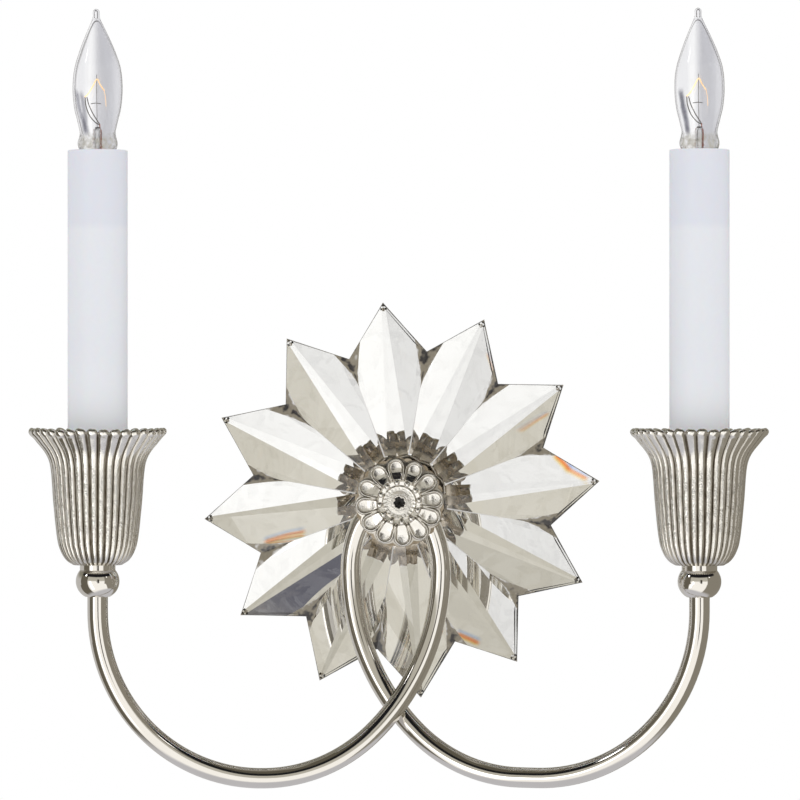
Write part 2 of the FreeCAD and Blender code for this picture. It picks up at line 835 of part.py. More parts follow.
def sleeve_seat(side):
    spigot = sleeve_radius - sleeve_wall - sleeve_spigot_clearance
    inner = spigot - seat_spigot_wall
    spigot_top = seat_top_z + seat_spigot_height
    hole = stem_radius + thread_clearance
    return upright_revolve(polygon_edges([
        (hole, seat_foot_z), (seat_radius, seat_foot_z), (seat_radius, seat_top_z), (spigot, seat_top_z),
        (spigot, spigot_top), (inner, spigot_top), (inner, seat_top_z), (hole, seat_top_z),
        (hole, seat_foot_z),
    ]))


def lamp_holder(side):
    bore = shell_bore_radius + shell_wall + thread_clearance
    body = upright_ring(holder_radius, 0, holder_foot_z, holder_top_z)
    body = body.cut(upright_ring(bore, 0, holder_floor_z, holder_top_z + past))
    for way in (-1, 1):
        foot = ARMS[side].normal * (way * lead_pair_offset) + V(0, 0, holder_foot_z)
        body = body.cut(Part.makeCylinder(lead_radius + thread_clearance, lead_hole_depth, foot, Z))
    return body


def holder_shell(side):
    outer = shell_bore_radius + shell_wall
    return upright_revolve(polygon_edges([
        (shell_bore_radius, holder_top_z - shell_length), (outer, holder_top_z - shell_length),
        (outer, holder_top_z), (outer + shell_lip, holder_top_z),
        (outer + shell_lip, holder_top_z + shell_wall),
        (shell_bore_radius, holder_top_z + shell_wall), (shell_bore_radius, holder_top_z - shell_length),
    ]))


def holder_contact(side):
    """Sprung tongue that rises from the holder's floor to the bulb's button."""
    high = button_foot_z - contact_gap
    foot = [(x, holder_floor_z + height) for x, height in contact_foot]
    head = [(x, high - drop) for x, drop in contact_head]
    back = [(x, holder_floor_z + height) for x, height in contact_return]
    points = [V(x, -contact_width / 2, z) for x, z in foot + head + back + foot[:1]]
    return Part.Face(Part.makePolygon(points)).extrude(V(0, contact_width, 0))


def candle_sleeve(side):
    inner = sleeve_radius - sleeve_wall
    return upright_revolve(polygon_edges([
        (inner, sleeve_foot_z), (sleeve_radius, sleeve_foot_z), (sleeve_radius, sleeve_top_z - sleeve_edge),
        (sleeve_radius - sleeve_edge, sleeve_top_z), (inner, sleeve_top_z), (inner, sleeve_foot_z),
    ]))


# ---------------------------------------------------------------- bulb


def bulb_screw_shell(side):
    """Thin rolled shell whose ridges stand for the thread."""
    inner = base_root_radius - base_wall
    edges = polygon_edges([
        (base_root_radius, base_foot_z), (inner, base_foot_z), (inner, base_top_z),
        (base_root_radius, base_top_z), (base_root_radius, base_top_z - base_skirt),
    ])
    z = base_top_z - base_skirt
    for _ in range(base_turns):
        low = z - base_pitch
        edges.append(Part.Arc(V(base_root_radius, 0, z), V(base_radius, 0, (z + low) / 2),
                              V(base_root_radius, 0, low)).toShape())
        z = low
    return upright_revolve(edges)


def bulb_insulator(side):
    top = base_foot_z + insulator_spigot
    foot = base_foot_z - insulator_height
    return upright_revolve(polygon_edges([
        (0, top), (bulb_neck_radius, top), (bulb_neck_radius, base_foot_z), (insulator_foot_radius, foot),
        (0, foot), (0, top),
    ]))


def bulb_button(side):
    foot = button_foot_z
    top = base_foot_z - insulator_height
    shoulder = V(button_shoulder_radius, 0, foot + (top - foot) * button_shoulder_share)
    dome = Part.Arc(V(0, 0, foot), shoulder, V(button_radius, 0, top)).toShape()
    return upright_revolve([dome] + polygon_edges([(button_radius, top), (0, top), (0, foot)]))


def bulb_envelope(side):
    outer = Part.BSplineCurve()
    outer.interpolate([V(r, 0, z) for z, r in bulb_outline] + [V(0, 0, bulb_tip_z)])
    hollow = [(z, r - bulb_wall) for z, r in bulb_outline if z < bulb_hollow_top_z - bulb_hollow_blend]
    inner = Part.BSplineCurve()
    inner.interpolate([V(r, 0, z) for z, r in hollow] + [V(0, 0, bulb_hollow_top_z)])
    foot_z = bulb_outline[0][0]
    outside = upright_revolve([outer.toShape()] + polygon_edges([
        (0, bulb_tip_z), (0, foot_z), (bulb_outline[0][1], foot_z)]))
    inside = upright_revolve([inner.toShape()] + polygon_edges([
        (0, bulb_hollow_top_z), (0, foot_z), (hollow[0][1], foot_z)]))
    lap_z = foot_z + bulb_neck_lap
    collar = upright_ring(bulb_neck_radius, bulb_neck_radius - bulb_wall, bulb_neck_foot_z, lap_z)
    return outside.cut(inside).fuse(collar).removeSplitter()


def bulb_stem(side):
    foot_z = bulb_neck_foot_z
    neck = bulb_neck_radius - bulb_wall
    return upright_revolve(polygon_edges([
        (0, foot_z), (neck, foot_z), (neck, foot_z + glass_stem_foot_thickness),
        (glass_stem_radius, foot_z + glass_stem_flare_height),
        (glass_stem_radius, glass_stem_top_z - glass_stem_pinch_height),
        (glass_stem_pinch_radius, glass_stem_top_z), (0, glass_stem_top_z), (0, foot_z),
    ]))


def bulb_supports(side):
    wires = []
    for (x, z), way in ((support_left, -1), (support_right, 1)):
        foot = V(way * support_foot_offset, 0, glass_stem_top_z)
        spread = V(way * support_spread, 0, glass_stem_top_z + support_rise)
        bends, _ = rounded_run([foot, spread, V(x, 0, z - support_upright), V(x, 0, z)], support_bend)
        wires.append(sweep_round(bends, support_radius))
    return Part.makeCompound(wires)


def bulb_filament(side):
    low_left = V(support_left[0], 0, support_left[1] + filament_radius)
    low_right = V(support_right[0], 0, support_right[1] + filament_radius)
    peak = V(filament_peak[0], 0, filament_peak[1])
    edges, _ = rounded_run([low_left, peak, low_right], filament_bend)
    return sweep_round(edges, filament_radius)


# ---------------------------------------------------------------- nodes

SINGLE_NODES = (
    mounting_strap, ground_screw, threaded_rod, strap_lock_nut, back_pan, pan_gasket, mirror_backing,
    crystal_star, star_washer, clamp_washer, hub_body, hub_cover, fluted_collar, rosette_cap, cap_screw,
    wire_connectors,
)
ARM_NODES = {"arm": arm_tube}
CUP_NODES = {
    "neck_ball": neck_ball, "fluted_cup": fluted_cup, "cup_nipple": cup_nipple, "cup_lock_nut": cup_lock_nut,
    "socket_stem": socket_stem, "sleeve_seat": sleeve_seat, "lamp_holder": lamp_holder,
    "holder_shell": holder_shell, "holder_contact": holder_contact, "candle_sleeve": candle_sleeve,
    "bulb_screw_shell": bulb_screw_shell, "bulb_insulator": bulb_insulator, "bulb_button": bulb_button,
    "bulb_envelope": bulb_envelope, "bulb_stem": bulb_stem, "bulb_supports": bulb_supports,
    "bulb_filament": bulb_filament,
}


def save(name, shape):
    shape.exportStep(os.path.join("parts", name + ".step"))
    print(f"{name:24s} solids {len(shape.Solids)}  valid {shape.isValid()}  volume {shape.Volume:10.1f}")


def main():
    os.makedirs("parts", exist_ok=True)
    for make in SINGLE_NODES:
        save(make.__name__, make())
    for side in SIDES:
        for name, make in ARM_NODES.items():
            save(f"{name}_{side}", make(side))
        for circuit in ("live", "neutral"):
            save(f"{circuit}_lead_{side}", lead(side, circuit))
        for name, make in CUP_NODES.items():
            save(f"{name}_{side}", make(side).translated(ARMS[side].cup))


main()
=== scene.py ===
"""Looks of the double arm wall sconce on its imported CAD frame. Metres, +Z up, the wall is the plane y = 0."""

import math
import random

import bpy
import numpy as np
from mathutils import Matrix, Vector


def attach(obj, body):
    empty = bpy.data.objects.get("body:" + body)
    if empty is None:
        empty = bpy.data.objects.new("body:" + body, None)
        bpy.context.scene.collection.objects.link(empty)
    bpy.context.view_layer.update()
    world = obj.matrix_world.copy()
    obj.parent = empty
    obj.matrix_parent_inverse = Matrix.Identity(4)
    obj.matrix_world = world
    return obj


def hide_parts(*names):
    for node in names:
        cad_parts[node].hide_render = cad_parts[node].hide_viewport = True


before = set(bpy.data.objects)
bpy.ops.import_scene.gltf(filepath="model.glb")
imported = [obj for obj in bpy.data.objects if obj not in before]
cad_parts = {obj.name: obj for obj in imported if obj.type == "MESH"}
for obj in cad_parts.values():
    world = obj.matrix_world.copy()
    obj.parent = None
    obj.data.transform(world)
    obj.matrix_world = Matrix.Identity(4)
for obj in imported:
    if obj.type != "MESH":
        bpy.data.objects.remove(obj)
bpy.context.view_layer.update()

MM = 0.001
SIDES = {"left": -1, "right": 1}
cup_x, cup_y = 128.5, -95.0

# ---------------- node trees

# output sockets by number
OBJECT_PLACE = 3
FIELD_VALUE = 2
CAMERA_RAY, MIRRORED_RAY, BENT_RAY = 0, 3, 6


class Graph:
    """A node tree written as calls: each call adds one node and returns an output socket of it."""

    def __init__(self, tree):
        self.tree = tree
        tree.nodes.clear()

    def add(self, kind, inputs=(), output=0, **settings):
        """Node of a kind; each input is a socket to link or a value to set."""
        node = self.tree.nodes.new("ShaderNode" + kind)
        for name, value in settings.items():
            setattr(node, name, value)
        for key, value in dict(inputs).items():
            if isinstance(value, bpy.types.NodeSocket):
                self.tree.links.new(value, node.inputs[key])
            else:
                node.inputs[key].default_value = value
        return node.outputs[output] if len(node.outputs) else None

    def math(self, operation, *values, clamp=False):
        return self.add("Math", enumerate(values), operation=operation, use_clamp=clamp)

    def times(self, first, second, **settings):
        return self.math("MULTIPLY", first, second, **settings)

    def plus(self, first, second, **settings):
        return self.math("ADD", first, second, **settings)

    def minus(self, first, second):
        return self.math("SUBTRACT", first, second)

    def length(self, first, second):
        """Length of the arrow with two legs at a right angle."""
        squares = self.plus(self.math("POWER", first, 2.0), self.math("POWER", second, 2.0))
        return self.math("SQRT", squares)

    def rise(self, value, low, high, start=0.0, end=1.0):
        """Smooth change from start to end as value goes from low to high."""
        return self.add(
            "MapRange",
            {"Value": value, "From Min": low, "From Max": high, "To Min": start, "To Max": end},
            interpolation_type="SMOOTHSTEP",
        )

    def band(self, value, low, high, soft):
        """1 between low and high, 0 outside, with soft edges."""
        inside = self.rise(value, low - soft, low + soft)
        return self.times(inside, self.rise(value, high - soft, high + soft, 1.0, 0.0))

    def mix(self, factor, first, second):
        """Colour from first to second; the numbers are the sockets of the node's colour form."""
        return self.add("Mix", {0: factor, 6: first, 7: second}, output=2, data_type="RGBA")

    def noise(self, place, scale, detail=3.0, roughness=0.5):
        inputs = {"Vector": place, "Scale": scale, "Detail": detail, "Roughness": roughness}
        return self.add("TexNoise", inputs)

    def place(self):
        """Object coordinates, in metres."""
        return self.add("TexCoord", output=OBJECT_PLACE)

    def parts(self, socket):
        return [self.add("SeparateXYZ", {0: socket}, output=k) for k in range(3)]

    def field(self, name):
        """Number stored on the points of a mesh piece."""
        return self.add("Attribute", output=FIELD_VALUE, attribute_name=name)


def rgb(red, green, blue):
    """Opaque colour."""
    return red, green, blue, 1.0


def new_material(name):
    material = bpy.data.materials.new(name)
    material.use_nodes = True
    return material, Graph(material.node_tree)


def finish_material(graph, inputs):
    """Shader and output of a surface."""
    shader = graph.add("BsdfPrincipled", inputs)
    graph.add("OutputMaterial", {"Surface": shader})


def plain_finish(name, colour, metallic, roughness, grain=900.0, change=0.12, bump=0.1, depth=0.00005):
    """Surface with a fine grain in colour, roughness and height."""
    material, graph = new_material(name)
    place = graph.place()
    fine = graph.noise(place, grain)
    broad = graph.noise(place, grain / 12)
    shade = graph.plus(graph.times(fine, 0.5), graph.times(broad, 0.5))
    dark = rgb(*(c * (1 - change) for c in colour))
    light = rgb(*(min(1.0, c * (1 + change)) for c in colour))
    finish_material(graph, {
        "Base Color": graph.mix(graph.rise(shade, 0.35, 0.65), dark, light),
        "Metallic": metallic,
        "Roughness": graph.rise(shade, 0.3, 0.7, roughness * 0.8, min(1.0, roughness * 1.2)),
        "Normal": graph.add("Bump", {"Strength": bump, "Distance": depth, "Height": fine}),
    })
    return material


def polished_nickel():
    """Bright plating with slow waves, as buffed tube and turned parts have."""
    material, graph = new_material("polished_nickel")
    place = graph.place()
    broad = graph.noise(place, 60.0, 2.0)
    fine = graph.noise(place, 700.0, 4.0)
    height = graph.plus(broad, graph.times(fine, 0.04))
    finish_material(graph, {
        "Base Color": graph.mix(broad, rgb(0.74, 0.71, 0.655), rgb(0.80, 0.775, 0.73)),
        "Metallic": 1.0,
        "Roughness": graph.rise(fine, 0.3, 0.7, 0.035, 0.075),
        "Normal": graph.add("Bump", {"Strength": 0.12, "Distance": 0.0003, "Height": height}),
    })
    return material


def cast_nickel():
    """Plating over a casting: darker in its grooves, pitted where the polishing wheel didn't reach; the same
    dark colour paints a reflection dot on the front of each bead of the rosette.
    """
    material, graph = new_material("cast_nickel")
    place = graph.place()
    groove = graph.field("groove")
    pitted = graph.field("pitted")
    fine = graph.noise(place, 1500.0, 3.0, 0.6)
    patch = graph.noise(place, 260.0, 2.0)
    pits = graph.times(graph.rise(fine, 0.42, 0.62), graph.rise(patch, 0.38, 0.62, 0.35, 1.0))
    # darker in the grooves, and a painted dark reflection on the beads
    stain_and_painted_reflection = graph.times(groove, graph.rise(patch, 0.25, 0.75, 0.75, 1.0), clamp=True)
    bright = graph.mix(patch, rgb(0.78, 0.75, 0.69), rgb(0.90, 0.885, 0.85))
    rough_height = graph.times(pits, graph.plus(pitted, 0.06))
    finish_material(graph, {
        "Base Color": graph.mix(stain_and_painted_reflection, bright, rgb(0.20, 0.165, 0.11)),
        "Metallic": 1.0,
        "Roughness": graph.plus(graph.rise(groove, 0.2, 1.0, 0.10, 0.32), graph.times(pitted, 0.06)),
        "Normal": graph.add("Bump", {"Strength": 0.55, "Distance": 0.00022, "Height": rough_height}),
    })
    return material


CRYSTAL_IOR, GLASS_IOR = 1.53, 1.47
# painted glints of split colour: from and to as x and z in metres, half width in metres, strength
painted_fire_glints = [
    ((0.0672, 0.0192), (0.0735, 0.0125), 0.0012, 1.0),
    ((0.0725, 0.0130), (0.0815, 0.0092), 0.0009, 0.8),
    ((0.0510, 0.0310), (0.0640, 0.0385), 0.0006, 0.55),
    ((0.0245, -0.0585), (0.0340, -0.0628), 0.0010, 1.0),
    ((-0.0600, -0.0180), (-0.0425, -0.0129), 0.0009, 1.0),
    ((0.0375, 0.0645), (0.0405, 0.0560), 0.0005, 0.4),
]


def crystal():
    """Clear lead crystal with a faint change of tint and a few painted glints of split colour in its base
    colour.
    """
    material, graph = new_material("crystal")
    place = graph.place()
    waves = graph.noise(place, 45.0, 1.0)
    x, _, z = graph.parts(place)
    tint_and_painted_light = graph.mix(waves, rgb(0.987, 0.987, 0.982), rgb(0.992, 0.992, 0.989))
    bend = graph.times(graph.minus(waves, 0.5), 0.003)
    # each painted glint is a warm streak with a cold edge beside it, painted into the base colour
    for (x0, z0), (x1, z1), width, strength in painted_fire_glints:
        length = math.hypot(x1 - x0, z1 - z0)
        along_x, along_z = (x1 - x0) / length, (z1 - z0) / length
        dx, dz = graph.minus(x, x0), graph.minus(z, z0)
        along = graph.plus(graph.times(dx, along_x), graph.times(dz, along_z))
        off = graph.plus(graph.minus(graph.times(dx, along_z), graph.times(dz, along_x)), bend)
        inside = graph.band(along, 0.0, length, 0.0015)
        warm = graph.times(inside, graph.band(off, -width, width, width * 0.7))
        warm = graph.times(warm, strength)
        hue = graph.mix(graph.rise(off, -width, width), rgb(1.0, 0.42, 0.20), rgb(1.0, 0.86, 0.50))
        tint_and_painted_light = graph.mix(warm, tint_and_painted_light, hue)
        cold = graph.times(inside, graph.band(off, -2.6 * width, -1.5 * width, width * 0.5))
        tint_and_painted_light = graph.mix(graph.times(cold, strength * 0.6), tint_and_painted_light, rgb(0.55, 0.68, 0.98))
    finish_material(graph, {
        "Base Color": tint_and_painted_light,
        "Roughness": 0.0,
        "IOR": CRYSTAL_IOR,
        "Transmission Weight": 1.0,
    })
    return material


def smoky_facet():
    """Sheets in the valleys and along the girdle that carry painted shade, painted reflection and painted
    highlight: brown, olive and cream where the mirror shows.
    """
    material, graph = new_material("smoky_facet")
    place = graph.place()
    depth = graph.field("depth")
    streaks = graph.noise(place, 190.0, 2.0, 0.6)
    fine = graph.noise(place, 900.0, 2.0)
    # the depth field holds each sheet's tone of painted shade or painted highlight
    tone = graph.plus(depth, graph.times(graph.minus(streaks, 0.5), 1.6))
    dark = graph.mix(fine, rgb(0.030, 0.028, 0.030), rgb(0.085, 0.078, 0.070))
    olive = graph.mix(fine, rgb(0.24, 0.21, 0.155), rgb(0.36, 0.32, 0.245))
    colour = graph.mix(graph.rise(tone, 0.10, 0.34), dark, olive)
    colour = graph.mix(graph.rise(tone, 0.50, 0.85), colour, rgb(0.78, 0.765, 0.73))
    finish_material(graph, {
        "Base Color": colour,
        "Roughness": graph.rise(fine, 0.3, 0.7, 0.12, 0.22),
        "IOR": CRYSTAL_IOR,
    })
    return material


def collar_nickel():
    """Nickel darkened to brown-grey as painted shade for the parts under the rosette, seen again and again in
    the crystal's back.
    """
    material, graph = new_material("collar_nickel")
    place = graph.place()
    broad = graph.noise(place, 140.0, 2.0)
    fine = graph.noise(place, 1300.0, 3.0)
    finish_material(graph, {
        "Base Color": graph.mix(graph.rise(broad, 0.3, 0.7), rgb(0.33, 0.27, 0.19), rgb(0.50, 0.43, 0.33)),
        "Metallic": 1.0,
        "Roughness": graph.rise(fine, 0.3, 0.7, 0.16, 0.26),
        "Normal": graph.add("Bump", {"Strength": 0.1, "Distance": 0.0001, "Height": fine}),
    })
    return material


def screw_dark():
    """Plating of the middle screw, with the black of painted shade in its recess."""
    material, graph = new_material("screw_dark")
    place = graph.place()
    groove = graph.field("groove")
    fine = graph.noise(place, 1800.0, 3.0)
    grain = graph.rise(fine, 0.4, 0.65)
    finish_material(graph, {
        "Base Color": graph.mix(
            graph.rise(groove, 0.3, 0.8), rgb(0.74, 0.71, 0.66), rgb(0.015, 0.013, 0.012)),
        "Metallic": graph.rise(groove, 0.3, 0.8, 1.0, 0.3),
        "Roughness": graph.rise(fine, 0.3, 0.7, 0.12, 0.25),
        "Normal": graph.add("Bump", {"Strength": 0.5, "Distance": 0.00015, "Height": grain}),
    })
    return material


def silvering():
    """Mirror plate behind the crystal."""
    material, graph = new_material("silvering")
    place = graph.place()
    haze = graph.noise(place, 120.0, 3.0)
    finish_material(graph, {
        "Base Color": graph.mix(haze, rgb(0.937, 0.932, 0.915), rgb(0.945, 0.94, 0.924)),
        "Metallic": 1.0,
        "Roughness": graph.rise(haze, 0.3, 0.7, 0.0, 0.004),
    })
    return material


def stem_glass():
    """Pressed glass round the bulb's leads, with a wavy skin."""
    material, graph = new_material("stem_glass")
    place = graph.place()
    waves = graph.noise(place, 900.0, 2.0)
    finish_material(graph, {
        "Base Color": graph.mix(waves, rgb(0.93, 0.935, 0.93), rgb(0.944, 0.949, 0.944)),
        "Roughness": graph.rise(waves, 0.4, 0.8, 0.0, 0.05),
        "IOR": GLASS_IOR,
        "Transmission Weight": 1.0,
        "Normal": graph.add("Bump", {"Strength": 0.6, "Distance": 0.0004, "Height": waves}),
    })
    return material


def bulb_glass():
    """Thin blown glass: clear on one half, painted violet-grey shade on the other, a painted bright band and a
    painted dark streak of reflection, uneven in its foot with painted mottled reflections there.
    """
    material, graph = new_material("bulb_glass")
    place = graph.place()
    x, _, z = graph.parts(place)
    beside = graph.minus(x, graph.times(graph.math("SIGN", x), cup_x * MM))
    waves = graph.noise(place, 90.0, 2.0)
    rough = graph.noise(place, 520.0, 3.0)
    foot = graph.rise(z, 0.1545, 0.1600, 1.0, 0.0)
    # painted shade: violet-grey on the bulb's right half, lighter again towards its far edge
    tint_and_painted_light = graph.mix(graph.rise(beside, -0.0022, 0.0015), rgb(0.955, 0.955, 0.96), rgb(0.765, 0.765, 0.785))
    tint_and_painted_light = graph.mix(graph.rise(beside, 0.0045, 0.0095), tint_and_painted_light, rgb(0.87, 0.87, 0.885))
    # a painted highlight band left of the axis
    painted_highlight_band = graph.band(beside, -0.0048, -0.0018, 0.0006)
    tint_and_painted_light = graph.mix(painted_highlight_band, tint_and_painted_light, rgb(1.0, 1.0, 1.0))
    # a painted dark streak of reflection, slanting, low on the left
    slant = graph.plus(beside, graph.times(graph.minus(z, 0.166), 0.16))
    slant = graph.plus(slant, graph.times(graph.minus(waves, 0.5), 0.003))
    painted_dark_reflection = graph.times(graph.band(slant, -0.0073, -0.0055, 0.0006), graph.band(z, 0.158, 0.176, 0.002))
    tint_and_painted_light = graph.mix(graph.times(painted_dark_reflection, 0.85), tint_and_painted_light, rgb(0.36, 0.36, 0.40))
    # painted mottled reflections in the foot
    painted_foot_reflections = graph.times(foot, graph.rise(rough, 0.42, 0.58))
    tint_and_painted_light = graph.mix(painted_foot_reflections, tint_and_painted_light, rgb(0.70, 0.685, 0.64))
    height = graph.plus(graph.times(waves, 0.1), graph.times(rough, foot))
    finish_material(graph, {
        "Base Color": tint_and_painted_light,
        "Roughness": 0.0,
        "IOR": GLASS_IOR,
        "Transmission Weight": 1.0,
        "Normal": graph.add("Bump", {"Strength": 0.5, "Distance": 0.0004, "Height": height}),
    })
    return material


def sleeve_plastic():
    """Milky sleeve with painted shade where the lamp holder is inside, and painted light at its foot in the
    dark cup.
    """
    material, graph = new_material("sleeve_white")
    place = graph.place()
    height = graph.parts(place)[2]
    grain = graph.noise(place, 500.0, 3.0)
    skin = graph.mix(grain, rgb(0.855, 0.862, 0.90), rgb(0.88, 0.884, 0.915))
    # painted light at the foot, inside the cup
    skin = graph.mix(graph.rise(height, 0.030, 0.070, 1.0, 0.0), skin, rgb(0.96, 0.96, 0.985))
    # painted shade above the height where the lamp holder sits inside
    painted_holder_shade = graph.rise(height, 0.116, 0.1205)
    finish_material(graph, {
        "Base Color": graph.mix(painted_holder_shade, skin, rgb(0.815, 0.828, 0.885)),
        "Roughness": graph.rise(grain, 0.3, 0.7, 0.42, 0.5),
        "Subsurface Weight": 0.15,
        "Subsurface Scale": 0.002,
        "Normal": graph.add("Bump", {"Strength": 0.04, "Distance": 0.0001, "Height": grain}),
    })
    return material


def glowing_filament():
    """Dim orange glow, as the photo's bulbs are hardly lit."""
    material, graph = new_material("filament")
    place = graph.place()
    heat = graph.noise(place, 900.0, 2.0)
    finish_material(graph, {
        "Base Color": rgb(0.5, 0.35, 0.2),
        "Emission Color": graph.mix(heat, rgb(1.0, 0.50, 0.17), rgb(1.0, 0.78, 0.48)),
        "Emission Strength": 1.4,
    })
    return material


def fabric_lead(name, colour):
    """Cover of an insulated lead."""
    return plain_finish(name, colour, 0.0, 0.5, grain=2500.0, change=0.1, bump=0.2, depth=0.0001)


MATERIALS = {
    "polished_nickel": polished_nickel(),
    "cast_nickel": cast_nickel(),
    "collar_nickel": collar_nickel(),
    "screw_dark": screw_dark(),
    "crystal": crystal(),
    "smoky_facet": smoky_facet(),
    "silvering": silvering(),
    "bulb_glass": bulb_glass(),
    "stem_glass": stem_glass(),
    "sleeve_white": sleeve_plastic(),
    "filament": glowing_filament(),
    "support_wire": plain_finish("support_wire", (0.16, 0.14, 0.12), 0.9, 0.35, grain=3000.0),
    "copper_wire": plain_finish("copper_wire", (0.62, 0.24, 0.17), 0.8, 0.35, grain=3000.0),
    "strap_steel": plain_finish("strap_steel", (0.56, 0.57, 0.58), 1.0, 0.32, grain=1200.0),
    "ground_green": plain_finish("ground_green", (0.05, 0.30, 0.10), 0.3, 0.4),
    "soft_black": plain_finish("soft_black", (0.025, 0.025, 0.027), 0.0, 0.75, bump=0.3),
    "connector_tan": plain_finish("connector_tan", (0.62, 0.43, 0.24), 0.0, 0.45),
    "lead_black": fabric_lead("lead_black", (0.02, 0.02, 0.022)),
    "lead_white": fabric_lead("lead_white", (0.75, 0.74, 0.70)),
    "holder_black": plain_finish("holder_black", (0.03, 0.028, 0.026), 0.0, 0.35, bump=0.2),
    "brass": plain_finish("brass", (0.80, 0.60, 0.27), 1.0, 0.25, grain=1500.0),
    "bulb_base": plain_finish("bulb_base", (0.72, 0.66, 0.52), 1.0, 0.28, grain=1500.0),
    "insulator_black": plain_finish("insulator_black", (0.02, 0.02, 0.03), 0.0, 0.2),
    "solder": plain_finish("solder", (0.60, 0.60, 0.60), 1.0, 0.4, grain=2200.0, bump=0.4),
}

# every CAD node wears the material that its slot names
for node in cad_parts.values():
    for slot, worn in zip(node.material_slots, list(node.data.materials)):
        slot.link = "OBJECT"
        slot.material = MATERIALS[worn.name]

# the pieces that the crystal mirrors as a brown ring wear the darker nickel of painted shade
for shaded in ("fluted_collar", "hub_body", "clamp_washer"):
    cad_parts[shaded].material_slots[0].material = MATERIALS["collar_nickel"]

# ---------------- mesh code

curve_steps = 24


def piece(name, points, faces, material, body, replaces=(), smooth=True, fields=None):
    """Mesh piece from points in millimetres, finished, riding on its body."""
    mesh = bpy.data.meshes.new(name)
    mesh.from_pydata((np.asarray(points, float) * MM).tolist(), [], faces)
    mesh.polygons.foreach_set("use_smooth", [smooth] * len(mesh.polygons))
    for field, values in (fields or {}).items():
        layer = mesh.attributes.new(field, "FLOAT", "POINT")
        layer.data.foreach_set("value", np.asarray(values, np.float32))
    mesh.validate()
    mesh.update()
    made = bpy.data.objects.new(name, mesh)
    bpy.context.scene.collection.objects.link(made)
    mesh.materials.append(MATERIALS[material])
    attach(made, body)
    if replaces:
        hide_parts(*replaces)
    return made


def grid_faces(rows, columns, first=0, closed=True, turned=False):
    """Quads between rows of points; closed rows go round once."""
    faces = []
    for row in range(rows - 1):
        for k in range(columns if closed else columns - 1):
            after = (k + 1) % columns
            a, b = first + row * columns + k, first + row * columns + after
            c, d = b + columns, a + columns
            faces.append((a, d, c, b) if turned else (a, b, c, d))
    return faces


def smooth_step(value, low, high):
    """0 below low, 1 above high, smooth between."""
    share = np.clip((value - low) / (high - low), 0, 1)
    return share * share * (3 - 2 * share)


def curve_through(points, count):
    """Smooth line through points, evenly spaced by length; each tangent follows the points beside it."""
    points = np.asarray(points, float)
    ends = np.vstack([2 * points[0] - points[1], points, 2 * points[-1] - points[-2]])
    dense = []
    for a, b, c, d in zip(ends, ends[1:], ends[2:], ends[3:]):
        for t in np.linspace(0, 1, curve_steps, endpoint=False):
            dense.append(0.5 * (2 * b + (c - a) * t + (2 * a - 5 * b + 4 * c - d) * t ** 2
                                + (3 * b - a - 3 * c + d) * t ** 3))
    dense.append(points[-1])
    dense = np.array(dense)
    length = np.concatenate([[0], np.cumsum(np.linalg.norm(np.diff(dense, axis=0), axis=1))])
    want = np.linspace(0, length[-1], count)
    return np.stack([np.interp(want, length, dense[:, k]) for k in range(dense.shape[1])], axis=1)


# ---------------- fluted cups

# height and radius
cup_outline = [
    (-26.2, 10.4), (-24.2, 13.4), (-20.4, 15.8), (-14.6, 17.4), (0.3, 19.0), (12.5, 19.9), (18.0, 20.8),
    (22.0, 22.7), (26.0, 25.9), (28.2, 27.7), (29.3, 28.9), (30.6, 29.6), (31.7, 29.3), (32.3, 28.5),
]
cup_lip_inside = [(32.2, 27.7), (31.4, 27.0), (30.2, 26.3)]
cup_wall, cup_floor = 2.2, 3.0
cup_bore, cup_floor_middle = 4.9, 9.0
cup_levels = 110
flute_count, flute_samples = 36, 18
flute_lean, flute_short, flute_tall = 0.05, 0.3, 0.15
groove_reach, groove_depth = 1.5, 1.2
groove_starts = (-27.5, -24.0)
reed_steepness, reed_crown = 1.05, 0.07
knob_heights, knob_share = (27.8, 29.4), 0.85
knob_deeper, knob_drop = 0.2, 0.35
body_heights, flare_heights, lip_heights = (-20.0, -10.0), (10.0, 20.0), (14.0, 28.0)
cup_foot_step = 0.6
ripple_height, ripple_share = 0.4, 0.6


def reed(across, pitch, round_share):
    """Height of a reed's face between its grooves, 0 to 1; round_share bends its flat middle round."""
    away = (1 - np.abs(across)) * pitch / 2
    reach = min(groove_reach, pitch / 2) * (1 - round_share) + pitch / 2 * round_share
    low = math.sqrt(reed_steepness ** 2 - 1)
    fall = 1 - np.clip(away / reach, 0, 1)
    edge = (np.sqrt(reed_steepness ** 2 - fall ** 2) - low) / (reed_steepness - low)
    return (1 - reed_crown) * edge + reed_crown * (1 - across ** 2), away


